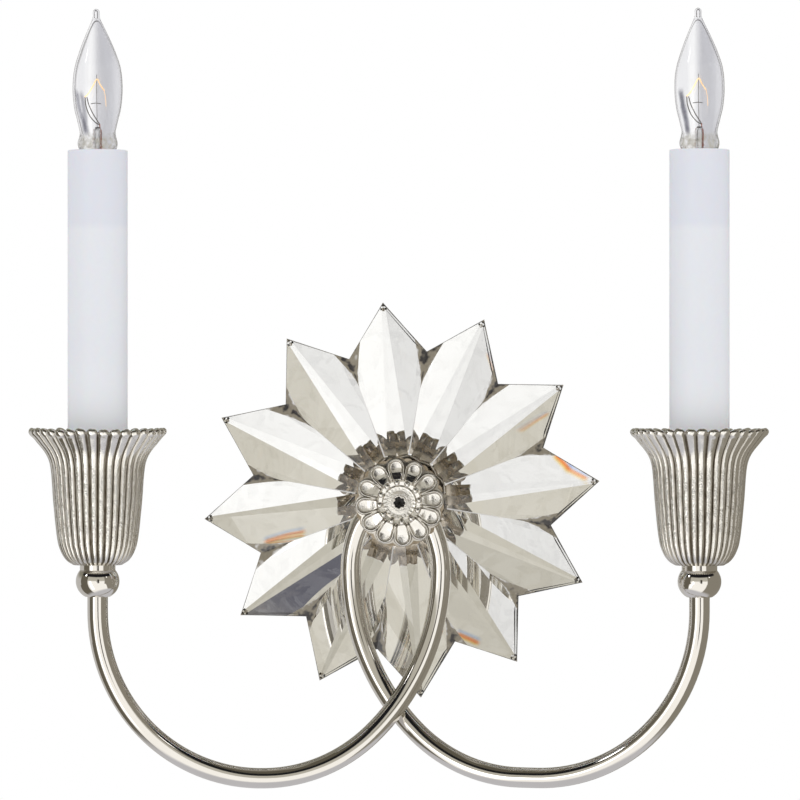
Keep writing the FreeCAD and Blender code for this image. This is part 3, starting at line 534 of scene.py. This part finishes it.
def fluted_cup(side):
    """Cup of reeds, round in the body and flat in the flare; each ends in a knob at the rim."""
    chance = random.Random(11 if side == "left" else 23)
    lean = [chance.uniform(-flute_lean, flute_lean) for _ in range(flute_count)]
    tall = [chance.uniform(-flute_short, flute_tall) for _ in range(flute_count)]
    columns = flute_count * flute_samples
    line = curve_through([(r, z) for z, r in cup_outline], cup_levels)
    way = np.gradient(line, axis=0)
    way /= np.linalg.norm(way, axis=1)[:, None]
    outward = np.stack([way[:, 1], -way[:, 0]], axis=1)
    spread = (np.arange(flute_samples) + 0.5) / flute_samples * 2 - 1
    across = np.sin(spread * math.pi / 2)
    step = 2 * math.pi / flute_count
    angles = np.repeat(np.arange(flute_count), flute_samples) * step + np.tile(across, flute_count) * step / 2
    angles += np.repeat(lean, flute_samples) * step
    across = np.tile(across, flute_count)
    tall = np.repeat(tall, flute_samples)
    rows, grooves, pits = [], [], []

    def add_ring(radius, z, groove, pitted):
        rows.append((np.full(columns, radius), np.full(columns, z)))
        grooves.append(np.full(columns, groove))
        pits.append(np.full(columns, pitted))

    for k, (radius, z) in enumerate(line):
        knob = float(smooth_step(z, *knob_heights))
        pitch = radius * step
        height, away = reed(across, pitch, knob_share * knob)
        depth = groove_depth * min(1.0, pitch / 2 / groove_reach) * (1 + knob_deeper * knob)
        sink = depth * float(smooth_step(z, *groove_starts)) * (1 - height)
        r = radius - sink * outward[k, 0]
        rows.append((r, z - sink * outward[k, 1] + knob * (tall - knob_drop * (1 - height))))
        grooves.append(np.clip(1.15 - away / 0.8, 0, 1) * (1 - 0.4 * knob))
        body = float(smooth_step(z, *body_heights) * (1 - smooth_step(z, *flare_heights)))
        pits.append((0.12 + 0.88 * body) * height)
    top_radius, top_z = line[-1]
    for z, radius in cup_lip_inside:
        rows.append((rows[cup_levels - 1][0] - top_radius + radius, rows[cup_levels - 1][1] - top_z + z))
        grooves.append(grooves[cup_levels - 1] * 0.5)
        pits.append(np.zeros(columns))
    foot = cup_outline[0][0]
    floor_level = foot + cup_floor
    for k in range(cup_levels - 1, 3, -3):
        radius, z = line[k]
        if z > cup_lip_inside[-1][0] - 1.5 or z < floor_level:
            continue
        share_in = float(smooth_step(z, *lip_heights))
        ripple = ripple_height * (reed(across, radius * step, ripple_share)[0] - 0.5) * share_in
        add_ring(radius - cup_wall + ripple, z, 0.15, 0.3)
    for radius in (cup_floor_middle, cup_bore):
        add_ring(radius, floor_level, 0.3, 0.4)
    for radius in (cup_bore, line[0, 0] - cup_foot_step):
        add_ring(radius, foot, 0.3, 0.0)
    rows.append(rows[0])
    grooves.append(grooves[0])
    pits.append(pits[0])
    x0 = SIDES[side] * cup_x
    points = np.concatenate([
        np.stack([x0 + r * np.cos(angles), cup_y + r * np.sin(angles), z], axis=1) for r, z in rows])
    node = f"fluted_cup_{side}"
    return piece(f"reeded_cup_{side}", points, grid_faces(len(rows), columns), "cast_nickel", "root",
                 (node,),
                 fields={"groove": np.concatenate(grooves), "pitted": np.concatenate(pits)})


# ---------------- edge of the crystal

star_back, star_edge, star_apex = -20.6, 3.0, 24.9
star_tip, star_valley = 87.5, 66.3
star_turn = math.radians(-5.5)
star_petals = 12
star_half = math.pi / star_petals
girdle_front = star_back - star_edge + 0.1
girdle_tip_gap = 0.5
girdle_width, girdle_extra = 0.30, 0.25
girdle_skin, girdle_slant, girdle_foot = 0.04, 0.7, 0.30
seen_from = np.array([0.9, -0.43])
dark_facing, shade_facing = 0.2, 0.25
# how far facets and shades stand over the crystal's face
facet_lift, shade_lift = 0.05, 0.06
# tones of the sheets of painted shade; the last one is their painted highlight line
tone_seen, tone_unseen, tone_shade, tone_highlight = 0.05, 0.2, -0.3, 1.6
# share of the way from tip to valley, distance from the edge, width
edge_shade = ((0.06, 0.55, 0.10), (0.3, 0.6, 0.30), (0.75, 0.75, 0.55), (0.86, 0.9, 0.05))
# radius and half width: a painted highlight line along each valley, then a patch of painted shade and highlight
# on each tip
highlight_line = ((20.5, 0.30), (26.0, 0.26), (33.0, 0.18), (42.0, 0.10), (50.0, 0.03))
tip_patch = ((85.6, 0.35), (85.0, 0.55), (84.4, 0.6), (83.9, 0.45))
valley_rows, valley_columns = 9, 6
valley_along_edge, valley_inward = (5.5, 9.5), (10.0, 17.0)


def pointing(angle):
    """Unit arrow in the wall's plane, by angle from upright."""
    return np.array([math.sin(angle), math.cos(angle)])


def star_height(x, z):
    """Height of the crystal's facets over its back at a place in front of the wall."""
    angle = (math.atan2(x, z) - star_turn + star_half) % (2 * star_half) - star_half
    radius = math.hypot(x, z)
    along, beside = radius * math.cos(angle), radius * abs(math.sin(angle))
    rise = star_valley * math.sin(star_half)
    run = star_tip - star_valley * math.cos(star_half)
    share = (along * rise + beside * run) / (star_tip * rise)
    return star_edge + (star_apex - star_edge) * (1 - share)


def star_girdle():
    """Thin dark line of painted shade along the crystal's side, wider where the side turns to the camera; there
    strips of painted shade also run on the facets inside the edge.
    """
    points, faces, tones = [], [], []
    corners = [(star_valley if k % 2 else star_tip - girdle_tip_gap) * pointing(star_turn + k * star_half)
               for k in range(2 * star_petals)]
    for k, a in enumerate(corners):
        b = corners[(k + 1) % len(corners)]
        way = (b - a) / np.linalg.norm(b - a)
        out = np.array([-way[1], way[0]])
        out = out if out @ (a + b) > 0 else -out
        facing = max(0.0, float(out @ seen_from))
        width = girdle_width + girdle_extra * facing
        first = len(points)
        for end in (a, b):
            for offset, y in ((girdle_skin, girdle_front), (girdle_slant * width, girdle_front),
                              (width, star_back), (girdle_foot, star_back)):
                x, z = end + out * offset
                points.append((x, y, z))
        faces += [(first + m, first + (m + 1) % 4, first + 4 + (m + 1) % 4, first + 4 + m) for m in range(4)]
        faces += [tuple(first + m for m in (3, 2, 1, 0)), tuple(first + 4 + m for m in range(4))]
        # tones of painted shade: darker where the side turns to the camera
        tones += [tone_seen if facing > dark_facing else tone_unseen] * 8
        # strips of painted shade on the facet inside this edge
        if facing > shade_facing:
            tip, low = (a, b) if k % 2 == 0 else (b, a)
            first = len(points)
            for share, inset, wide in edge_shade:
                for offset in (inset, inset + wide * (0.6 + 0.6 * facing)):
                    x, z = tip + (low - tip) * share - out * offset
                    points.append((x, star_back - star_height(x, z) - shade_lift, z))
                    tones.append(tone_shade)
            faces += grid_faces(len(edge_shade), 2, first, closed=False)
    return piece("star_girdle", points, faces, "smoky_facet", "root", smooth=False,
                 fields={"depth": tones})


def valley_facets():
    """Sheets of painted shade and reflection in every valley's corner, a painted highlight line along every
    valley, and a patch of painted shade and highlight, in random tones, on every tip.
    """
    chance = random.Random(5)
    points, faces, tones = [], [], []

    def add_grid(rows, shades):
        faces.extend(grid_faces(len(rows), len(rows[0]), len(points), closed=False))
        for row in rows:
            points.extend((x, star_back - star_height(x, z) - facet_lift, z) for x, z in row)
        tones.extend(shades)

    def strip(out, line, shares):
        across = np.array([out[1], -out[0]])
        return [[out * r + across * w * t for t in shares] for r, w in line]

    for k in range(star_petals):
        angle = star_turn + (2 * k + 1) * star_half
        out = pointing(angle)
        corner = out * star_valley
        for side in (-1, 1):
            tip = pointing(angle + side * star_half) * star_tip
            edge = (tip - corner) / np.linalg.norm(tip - corner)
            reach_edge = chance.uniform(*valley_along_edge)
            reach_in = chance.uniform(*valley_inward)
            rows, shades = [], []
            for share in np.linspace(0, 1, valley_rows):
                start = corner - out * reach_in * share
                way = edge * reach_edge * (1 - share) ** 1.5
                steps = np.linspace(0, 1, valley_columns)
                rows.append([start + way * t for t in steps])
                # painted shade and reflection, dark along the valley's middle and lighter towards the facet's
                # edge
                shades += [0.18 + 0.75 * t * (0.4 + 0.6 * share) for t in steps]
            add_grid(rows, shades)
        add_grid(strip(out, highlight_line, (-1, 0, 1)), [tone_highlight] * (3 * len(highlight_line)))
        rows = strip(pointing(star_turn + 2 * k * star_half), tip_patch, (-1, -0.5, 0, 0.5, 1))
        add_grid(rows, [chance.uniform(0.1, 0.8) for _ in range(5 * len(tip_patch))])
    return piece("valley_facets", points, faces, "smoky_facet", "root", smooth=False,
                 fields={"depth": tones})


# ---------------- rosette

petals = 12
petal_turn = math.radians(-5.5)
rosette_back = -67.4
petal_half = math.radians(10.8)
petal_side, petal_centre = 0.9, 15.1
flange_centre, flange_lobe = 13.7, 5.6
bead_ring, bead_radius, bead_height = 8.6, 1.35, 5.5
bead_turn = math.radians(-7.0)
bead_rows, bead_columns = 12, 24
rosette_inner = 3.32
rosette_rows, rosette_columns = 130, 54 * petals
# radius and height over the rosette's back
dome_line = np.array([
    (3.4, 4.2), (3.9, 4.2), (5.2, 4.05), (6.3, 4.15), (6.9, 4.3), (7.5, 3.6), (9.2, 3.9), (10.5, 4.7),
    (12.5, 4.75), (15.0, 4.7), (17.0, 4.4), (18.6, 3.8), (20.0, 3.0)])
spoon_line = np.array([
    (9.0, 5.3), (10.0, 5.0), (11.0, 4.6), (12.0, 4.15), (13.0, 3.75), (14.0, 3.5), (15.0, 3.42),
    (16.0, 3.42), (17.5, 3.45)])
flange_line = np.array([(8.0, 3.0), (15.0, 2.6), (17.5, 1.7), (19.2, 1.25), (19.9, 0.9)])
# distance inside the petal's edge, half width, height or depth
rim_place, rim_width, rim_height = 0.36, 0.30, 0.60
trough_place, trough_width, trough_depth = 0.88, 0.16, 0.50
scallop_ring, scallop_width, scallop_height = 6.3, 0.5, 0.07
# from and to, as radius or as distance inside the petal's edge
dish_edge, petal_start, pit_start = (6.2, 7.0), (8.8, 10.2), (9.5, 11.0)
pad_edge, flange_edge, flange_start = (0.9, 1.3), (-0.12, 0.25), (8.8, 10.0)
spoon_bow = 0.03
row_crowding = 0.9
screw_seat = rosette_back - 2.8
# radius and height over the seat
screw_head = [(3.3, 0.0), (3.3, 1.40), (3.2, 1.46)]
# share of the lobed outline, what is added to it, height
screw_recess = [(1.0, 0.15, 1.50), (1.0, 0.0, 1.42), (0.94, 0.0, 0.75), (0.7, 0.0, 0.60), (0.1, 0.0, 0.55)]
# waves round, shift, height
screw_lobes, screw_lobe_radius = ((8, 0.0, 0.2), (3, 1.0, 0.14), (5, 2.0, 0.14)), 2.3
screw_columns = 8 * 16


def flange_radius(bearing):
    """Radius of the lobed foot behind the petals, by angle from the nearest petal's middle."""
    across = flange_centre * np.sin(bearing)
    return flange_centre * np.cos(bearing) + np.sqrt(flange_lobe ** 2 - across ** 2)


def rosette_height(radius, bearing):
    """Height of the rosette's face over its back, and how deep in a groove it is."""
    along, beside = radius * np.cos(bearing), np.abs(radius * np.sin(bearing))
    sine, cosine = math.sin(petal_half), math.cos(petal_half)
    lobe = petal_centre * sine + petal_side * cosine
    before = along * cosine + beside * sine < petal_centre * cosine
    inside = np.where(before, along * sine + (petal_side - beside) * cosine,
                      lobe - np.hypot(along - petal_centre, beside))
    dome = np.interp(radius, *dome_line.T)
    petal = smooth_step(radius, *petal_start)
    rim = np.exp(-((inside - rim_place) / rim_width) ** 2)
    trough = np.exp(-((inside - trough_place) / trough_width) ** 2)
    spoon = np.interp(along, *spoon_line.T) + spoon_bow * beside ** 2
    pad = (spoon - dome) * smooth_step(inside, *pad_edge)
    face = dome + petal * (rim_height * rim - trough_depth * trough + pad)
    flange = np.minimum(np.interp(radius, *flange_line.T), face)
    outside = smooth_step(-inside, *flange_edge) * smooth_step(radius, *flange_start)
    groove = petal * np.clip(trough + 0.6 * outside, 0, 1)
    return face * (1 - outside) + flange * outside, groove


def rosette():
    """Spoon petals with rims, a ring of beads and a pitted dish, all in one piece."""
    columns = rosette_columns
    bearings = np.arange(columns) / columns * 2 * math.pi
    step = 2 * math.pi / petals
    near = (bearings + step / 2) % step - step / 2
    edge = flange_radius(near)
    rows, grooves, pits = [], [], []
    for share in np.linspace(0, 1, rosette_rows) ** row_crowding:
        radius = rosette_inner + (edge - rosette_inner) * share
        height, groove = rosette_height(radius, near)
        dish = 1 - smooth_step(radius, *dish_edge)
        scallops = np.exp(-((radius - scallop_ring) / scallop_width) ** 2) * np.cos(near * 2 * petals)
        height = height + scallop_height * scallops
        rows.append((radius, height))
        grooves.append(np.maximum(groove, 0.12 * dish))
        pits.append(0.07 * smooth_step(radius, *pit_start) + 0.5 * dish)
    for radius in (edge, np.full(columns, rosette_inner)):
        rows.append((radius, np.zeros(columns)))
        grooves.append(np.zeros(columns))
        pits.append(np.zeros(columns))
    rows.append(rows[0])
    grooves.append(grooves[0])
    pits.append(pits[0])
    turned = bearings + petal_turn
    points = [np.stack([r * np.sin(turned), rosette_back - h, r * np.cos(turned)], axis=1) for r, h in rows]
    faces = grid_faces(len(rows), columns)
    first = len(rows) * columns
    around = np.arange(bead_columns) / bead_columns * 2 * math.pi
    for k in range(petals):
        bearing = bead_turn + k * step
        centre = np.array([bead_ring * math.sin(bearing), rosette_back - bead_height,
                           bead_ring * math.cos(bearing)])
        for row in range(bead_rows):
            tilt = math.pi * (row + 0.02) / (bead_rows - 0.96)
            ring = np.stack([np.sin(tilt) * np.cos(around), np.full(bead_columns, -math.cos(tilt)),
                             np.sin(tilt) * np.sin(around)], axis=1)
            points.append(centre + bead_radius * ring)
        faces += grid_faces(bead_rows, bead_columns, first)
        first += bead_rows * bead_columns
    # a painted dark reflection on the front of every bead, carried in the groove field
    painted_reflection_dot = np.repeat([0.6, 0.1] + [0.0] * (bead_rows - 2), bead_columns)
    fields = {"groove": np.concatenate(grooves + [painted_reflection_dot] * petals),
              "pitted": np.concatenate(pits + [np.zeros(len(painted_reflection_dot))] * petals)}
    return piece("rosette", np.concatenate(points), faces, "cast_nickel", "root",
                 ("rosette_cap",), fields=fields)


def centre_screw():
    """Dished screw head with a lobed recess, painted dark as shade."""
    columns = screw_columns
    bearings = np.arange(columns) / columns * 2 * math.pi
    lobes = sum((height * np.cos(bearings * waves + shift) for waves, shift, height in screw_lobes),
                start=screw_lobe_radius)
    rows = [(np.full(columns, r), h) for r, h in screw_head]
    rows += [(lobes * share + extra, h) for share, extra, h in screw_recess]
    points = [np.stack([r * np.sin(bearings), np.full(columns, screw_seat - h), r * np.cos(bearings)], axis=1)
              for r, h in rows]
    # the recess is marked for the painted black shade of the screw's material
    groove = np.repeat([0.1] * (len(screw_head) + 1) + [1.0] * (len(screw_recess) - 1), columns)
    faces = grid_faces(len(rows), columns, turned=True)
    faces.append([(len(rows) - 1) * columns + k for k in range(columns)])
    faces.append(list(reversed(range(columns))))
    return piece("centre_screw", np.concatenate(points), faces, "screw_dark", "root",
                 ("cap_screw",), fields={"groove": groove})


# ---------------- sleeves and bulbs

sleeve_radius, sleeve_wall, sleeve_lip = 12.8, 1.0, 0.5
sleeve_foot, sleeve_top = -1.4, 151.0
sleeve_shoulder, sleeve_bevel = 0.8, 0.2
sleeve_columns, sleeve_rows, lip_rows = 144, 40, 7
# height and radius
bulb_outline = [
    (146.9, 5.3), (148.2, 6.5), (149.6, 7.2), (152.4, 8.3), (154.4, 8.5), (157.0, 7.85), (158.8, 7.65),
    (163.0, 8.6), (170.0, 10.2), (178.2, 10.72), (186.0, 9.95), (193.0, 7.8), (199.0, 5.4), (204.0, 3.15),
    (206.8, 1.9), (208.2, 1.5), (209.8, 1.55), (211.0, 1.1), (211.6, 0.05),
]
bulb_wall = 0.6
bulb_hollow = (147.5, 205.0)
bulb_hollow_top = [(1.15, 206.6), (0.05, 207.6)]
bulb_columns, bulb_outer_rows, bulb_inner_rows = 96, 110, 80
tip_lean, tip_heights = -0.6, (186.0, 211.0)
foot_roughness, foot_heights = 0.05, (149.0, 152.5)
# waves round, shift, height
foot_waves = ((5, 0.7, 0.5), (11, 2.1, 0.35), (3, 0.0, 0.3))


def revolved(name, line, columns, side, material, body, replaces, lean=None, rough=None):
    """Skin of revolution round an upright axis through a cup."""
    bearings = np.arange(columns) / columns * 2 * math.pi
    wave = sum(height * np.sin(bearings * waves + shift) for waves, shift, height in foot_waves)
    points = []
    for radius, z in line:
        x0 = SIDES[side] * cup_x + (lean(z) if lean else 0.0)
        r = radius * (1 + rough(z) * wave) if rough else radius
        points.append(np.stack([x0 + r * np.cos(bearings), cup_y + r * np.sin(bearings),
                                np.full(columns, z)], axis=1))
    return piece(name, np.concatenate(points), grid_faces(len(line), columns), material, body, replaces)


def candle_sleeve(side):
    """Open sleeve with a rounded upper lip."""
    outer, inner = sleeve_radius, sleeve_radius - sleeve_wall
    lip = [(outer - sleeve_lip + sleeve_lip * math.cos(t), sleeve_top - sleeve_lip + sleeve_lip * math.sin(t))
           for t in np.linspace(0, math.pi / 2, lip_rows)]
    outside = [(outer, z) for z in np.linspace(sleeve_foot, sleeve_top - sleeve_shoulder, sleeve_rows)]
    inside = [(inner + sleeve_bevel, sleeve_top), (inner, sleeve_top - sleeve_bevel), (inner, sleeve_foot),
              (outer, sleeve_foot)]
    return revolved(f"sleeve_skin_{side}", outside + lip + inside, sleeve_columns, side, "sleeve_white",
                    f"sleeve_{side}", (f"candle_sleeve_{side}",))


def envelope(side):
    """Blown flame-shaped envelope with a solid pulled tip that leans a little."""
    low, high = bulb_hollow
    outer = curve_through([(r, z) for z, r in bulb_outline], bulb_outer_rows)
    hollow = [(r - bulb_wall, z) for z, r in bulb_outline if low < z < high] + bulb_hollow_top
    inner = curve_through(hollow, bulb_inner_rows)
    start = [(inner[0][0], outer[0][1]), (outer[0][0], outer[0][1])]
    line = [tuple(p) for p in inner[::-1]] + start + [tuple(p) for p in outer]
    return revolved(f"flame_envelope_{side}", line, bulb_columns, side, "bulb_glass",
                    f"bulb_{side}", (f"bulb_envelope_{side}",),
                    lean=lambda z: tip_lean * float(smooth_step(z, *tip_heights)),
                    rough=lambda z: foot_roughness * float(1 - smooth_step(z, *foot_heights)))


def wire(points, radius, count=40, columns=10):
    """Points and faces of a round wire through points, all in millimetres."""
    line = curve_through(points, count)
    way = np.gradient(line, axis=0)
    way /= np.linalg.norm(way, axis=1)[:, None]
    side_way = np.cross(way, [0.0, 1.0, 0.0])
    side_way /= np.linalg.norm(side_way, axis=1)[:, None]
    up = np.cross(way, side_way)
    around = np.arange(columns) / columns * 2 * math.pi
    rings = [line[k] + radius * (np.outer(np.cos(around), side_way[k]) + np.outer(np.sin(around), up[k]))
             for k in range(count)]
    faces = grid_faces(count, columns)
    faces.append(list(range(columns)))
    faces.append([(count - 1) * columns + k for k in reversed(range(columns))])
    return np.concatenate(rings), faces


def wires(name, runs, side, material, replaces):
    """One piece of several wires, given in millimetres from the bulb's axis."""
    points, faces, first = [], [], 0
    for run, radius in runs:
        made, quads = wire(run, radius)
        points.append(made + np.array([SIDES[side] * cup_x, cup_y, 0.0]))
        faces += [[first + k for k in face] for face in quads]
        first += len(made)
    return piece(name, np.concatenate(points), faces, material, f"bulb_{side}", replaces)


lead_radius, support_radius, hook_radius = 0.22, 0.12, 0.16
copper_thick, copper_thin = 0.26, 0.2
filament_radius, filament_end_radius = 0.27, 0.12
support_runs = [
    ([(-5.4, 0, 173.9), (-5.1, 0.2, 170.4), (-3.6, 0.4, 166.2), (-1.2, 0.3, 163.2), (0.8, 0, 162.0)],
     lead_radius),
    ([(-4.6, 0, 173.7), (-3.7, -0.3, 170.4), (-1.9, -0.4, 166.6), (0.0, -0.2, 163.6), (1.0, 0, 162.0)],
     lead_radius),
    ([(-0.4, 0, 183.4), (-0.4, 0.1, 175.0), (-0.2, 0, 161.0)], support_radius),
    ([(-2.9, 0, 171.0), (-0.6, 0, 171.25), (1.4, 0, 171.0)], hook_radius),
]
copper_runs = [
    ([(0.9, 0, 162.4), (1.1, 0, 158.0), (1.05, 0, 153.0), (1.15, 0, 148.0)], copper_thick),
    ([(-1.6, 0, 160.2), (-1.75, 0, 156.0), (-1.6, 0, 148.0)], copper_thin),
]
filament_runs = [
    ([(-5.5, 0, 173.8), (-3.9, 0, 175.4), (-2.1, 0, 178.4), (-0.3, 0, 181.5), (1.0, 0, 179.2),
      (2.8, 0, 176.6)], filament_radius),
    ([(2.8, 0, 176.6), (3.4, 0, 173.4), (3.6, 0, 169.8)], filament_end_radius),
]


def bulb_inside(side):
    """Lead wires, supports and the glowing filament."""
    wires(f"bulb_wires_{side}", support_runs, side, "support_wire",
          (f"bulb_supports_{side}",))
    wires(f"bulb_lead_in_{side}", copper_runs, side, "copper_wire", ())
    wires(f"glow_wire_{side}", filament_runs, side, "filament", (f"bulb_filament_{side}",))


star_girdle()
valley_facets()
rosette()
centre_screw()
for side in SIDES:
    fluted_cup(side)
    candle_sleeve(side)
    envelope(side)
    bulb_inside(side)

# ---------------- floor, light and camera

floor_z, floor_radius, floor_corners = -0.30, 1.1, 96
lens_mm, sensor_mm = 210.8, 36.0
camera_distance = 2.095
camera_height = 0.0443
camera_yaw = math.radians(1.25)
camera_shift = -0.00127

# Directions in the studio are in degrees: turn is 0 towards the photo's camera and grows to the right
# of the photo, rise grows upwards. The floor uses its places in the same way.

# turn, rise, radius, strength
strobes = ((-69.0, 33.0, 3.5, 7.0), (57.0, 27.0, 2.0, 2.5))


def studio(graph, x, y, z):
    """What lies round the object, by direction: first as metal shows it, then as crystal and glass do."""
    level = graph.math("SQRT", graph.plus(graph.times(x, x), graph.times(y, y)))
    turn = graph.math("DEGREES", graph.math("ARCTAN2", x, graph.times(y, -1.0)))
    rise = graph.math("DEGREES", graph.math("ARCTAN2", z, level))
    return metal_studio(graph, turn, rise), glass_studio(graph, turn, rise)


def metal_studio(graph, turn, rise):
    """White screens below and in front, beige above them, dark sides and ceiling, two strobes."""
    front_left, front_right, soft = -50.0, 42.0, 3.0
    far_left, far_right = -95.0, 176.0
    front = graph.band(turn, front_left, front_right, soft)
    behind = graph.mix(graph.rise(rise, 4.0, 24.0), rgb(0.60, 0.59, 0.58), rgb(0.27, 0.26, 0.21))
    metal = graph.mix(front, behind, rgb(1.18, 1.165, 1.14))
    metal = graph.mix(graph.times(graph.rise(rise, 0.0, 7.0), front), metal, rgb(0.56, 0.54, 0.48))
    over_floor = graph.rise(rise, -58.0, -44.0)
    left = graph.times(graph.band(turn, far_left, front_left, 2.0), over_floor)
    metal = graph.mix(left, metal, rgb(0.15, 0.135, 0.105))
    right = graph.times(graph.band(turn, front_right, far_right, 2.0), over_floor)
    metal = graph.mix(right, metal, rgb(0.29, 0.268, 0.225))
    camera_stand = graph.times(graph.band(turn, 3.0, 13.0, 1.5), graph.band(rise, -10.0, 14.0, soft))
    metal = graph.mix(camera_stand, metal, rgb(0.06, 0.052, 0.042))
    ceiling = graph.times(graph.band(rise, 29.0, 84.0, soft), graph.band(turn, -100.0, 100.0, 6.0))
    dark = graph.mix(graph.rise(rise, 46.0, 60.0), rgb(0.012, 0.012, 0.014), rgb(0.12, 0.108, 0.082))
    metal = graph.mix(ceiling, metal, dark)
    metal = graph.mix(graph.rise(rise, -56.0, -44.0, 1.0, 0.0), metal, rgb(0.62, 0.62, 0.66))
    soft_box = graph.times(graph.band(turn, -40.0, -31.0, 2.0), graph.band(rise, -38.0, 2.0, soft))
    metal = graph.mix(soft_box, metal, rgb(3.0, 3.0, 3.0))
    for strobe_turn, strobe_rise, radius, strength in strobes:
        off = graph.length(graph.minus(turn, strobe_turn), graph.minus(rise, strobe_rise))
        lit = graph.rise(off, radius, radius + 1.5, 1.0, 0.0)
        metal = graph.mix(lit, metal, rgb(strength, strength, strength))
    lens = graph.rise(graph.length(turn, rise), 1.5, 3.0, 1.0, 0.0)
    return graph.mix(lens, metal, rgb(0.10, 0.10, 0.11))


def glass_studio(graph, turn, rise):
    """White to beige in front, a dark frame round the lit backdrop, a dark patch above the camera."""
    front = graph.band(turn, -55.0, 52.0, 3.0)
    aside = graph.math("ABSOLUTE", turn)
    frame_round = graph.band(graph.length(graph.minus(180.0, aside), rise), 14.5, 25.0, 3.0)
    backdrop = graph.mix(frame_round, rgb(0.97, 0.97, 0.98), rgb(0.22, 0.21, 0.21))
    white = graph.mix(graph.rise(turn, -30.0, 14.0), rgb(0.84, 0.84, 0.845), rgb(1.13, 1.13, 1.13))
    glass = graph.mix(front, backdrop, white)
    beige = graph.mix(graph.rise(aside, 4.0, 18.0), rgb(0.53, 0.505, 0.435), rgb(0.66, 0.63, 0.55))
    slanting = graph.plus(rise, graph.times(turn, 0.16))
    glass = graph.mix(graph.times(graph.rise(slanting, -1.5, 2.0), front), glass, beige)
    overhead = graph.times(graph.rise(rise, 36.0, 80.0), front)
    glass = graph.mix(overhead, glass, rgb(0.05, 0.05, 0.06))
    patch = graph.rise(graph.length(turn, graph.minus(rise, 29.0)), 3.5, 5.5, 1.0, 0.0)
    return graph.mix(patch, glass, rgb(0.09, 0.09, 0.12))


def stage_floor():
    """Pale floor; metal and glass see the studio's lower half on it."""
    mesh = bpy.data.meshes.new("floor")
    corners = [2 * math.pi * k / floor_corners for k in range(floor_corners)]
    ring = [(floor_radius * math.cos(t), floor_radius * math.sin(t), floor_z) for t in corners]
    mesh.from_pydata(ring, [], [list(range(floor_corners))])
    floor = bpy.data.objects.new("floor", mesh)
    bpy.context.scene.collection.objects.link(floor)
    material, graph = new_material("floor")
    mirrored = graph.add("LightPath", output=MIRRORED_RAY)
    bent = graph.add("LightPath", output=BENT_RAY)
    metal, glass = studio(graph, *graph.parts(graph.add("NewGeometry")))
    paper = graph.noise(graph.place(), 30.0)
    matt = graph.add("BsdfDiffuse", {"Color": graph.mix(paper, rgb(0.93, 0.93, 0.93), rgb(0.96, 0.96, 0.96))})
    glow = graph.add("Emission", {"Color": graph.mix(bent, metal, glass), "Strength": 1.0})
    shader = graph.add("MixShader", {0: graph.plus(mirrored, bent, clamp=True), 1: matt, 2: glow})
    graph.add("OutputMaterial", {"Surface": shader})
    mesh.materials.append(material)


def studio_world():
    """White for the camera, even light for matt surfaces, and the studio for metal and glass."""
    world = bpy.data.worlds.new("studio")
    world.use_nodes = True
    bpy.context.scene.world = world
    graph = Graph(world.node_tree)
    metal, glass = studio(graph, *graph.parts(graph.add("TexCoord")))
    seen = graph.add("LightPath", output=CAMERA_RAY)
    mirrored = graph.add("LightPath", output=MIRRORED_RAY)
    bent = graph.add("LightPath", output=BENT_RAY)
    shiny = graph.mix(bent, metal, glass)
    lit = graph.mix(graph.plus(mirrored, bent, clamp=True), rgb(0.86, 0.86, 0.875), shiny)
    final = graph.mix(seen, lit, rgb(1.0, 1.0, 1.0))
    shader = graph.add("Background", {"Color": final, "Strength": 1.0})
    graph.add("OutputWorld", {"Surface": shader})


def soft_lamp(name, place, aim, size, watts):
    """Area lamp that lights matt surfaces and isn't seen in metal or glass."""
    data = bpy.data.lights.new(name, "AREA")
    data.shape = "RECTANGLE"
    data.size, data.size_y = size
    data.energy = watts
    lamp = bpy.data.objects.new(name, data)
    bpy.context.scene.collection.objects.link(lamp)
    lamp.location = place
    lamp.rotation_euler = (Vector(aim) - Vector(place)).to_track_quat("-Z", "Y").to_euler()
    lamp.visible_glossy = False
    lamp.visible_transmission = False


def photo_camera():
    """Camera where the photo was taken from."""
    data = bpy.data.cameras.new("camera")
    data.lens = lens_mm
    data.sensor_width = sensor_mm
    camera = bpy.data.objects.new("camera", data)
    bpy.context.scene.collection.objects.link(camera)
    right = Vector((math.cos(camera_yaw), math.sin(camera_yaw), 0))
    back = Vector((math.sin(camera_yaw), -math.cos(camera_yaw), 0))
    camera.location = back * camera_distance + right * camera_shift + Vector((0, 0, camera_height))
    camera.rotation_euler = (math.pi / 2, 0, camera_yaw)
    data.clip_start, data.clip_end = 0.05, 50.0
    bpy.context.scene.camera = camera


stage_floor()
studio_world()
soft_lamp("key_lamp", (-0.1, -1.8, 1.0), (0, -0.05, 0.05), (1.2, 0.9), 2.0)
soft_lamp("top_lamp", (0.2, -0.3, 1.7), (0, -0.05, 0), (1.0, 1.0), 2.0)
photo_camera()
bpy.context.scene.view_settings.view_transform = "Standard"
bpy.context.scene.cycles.max_bounces = 24
bpy.context.scene.cycles.glossy_bounces = 16
bpy.context.scene.cycles.transmission_bounces = 24

bpy.context.view_layer.update()
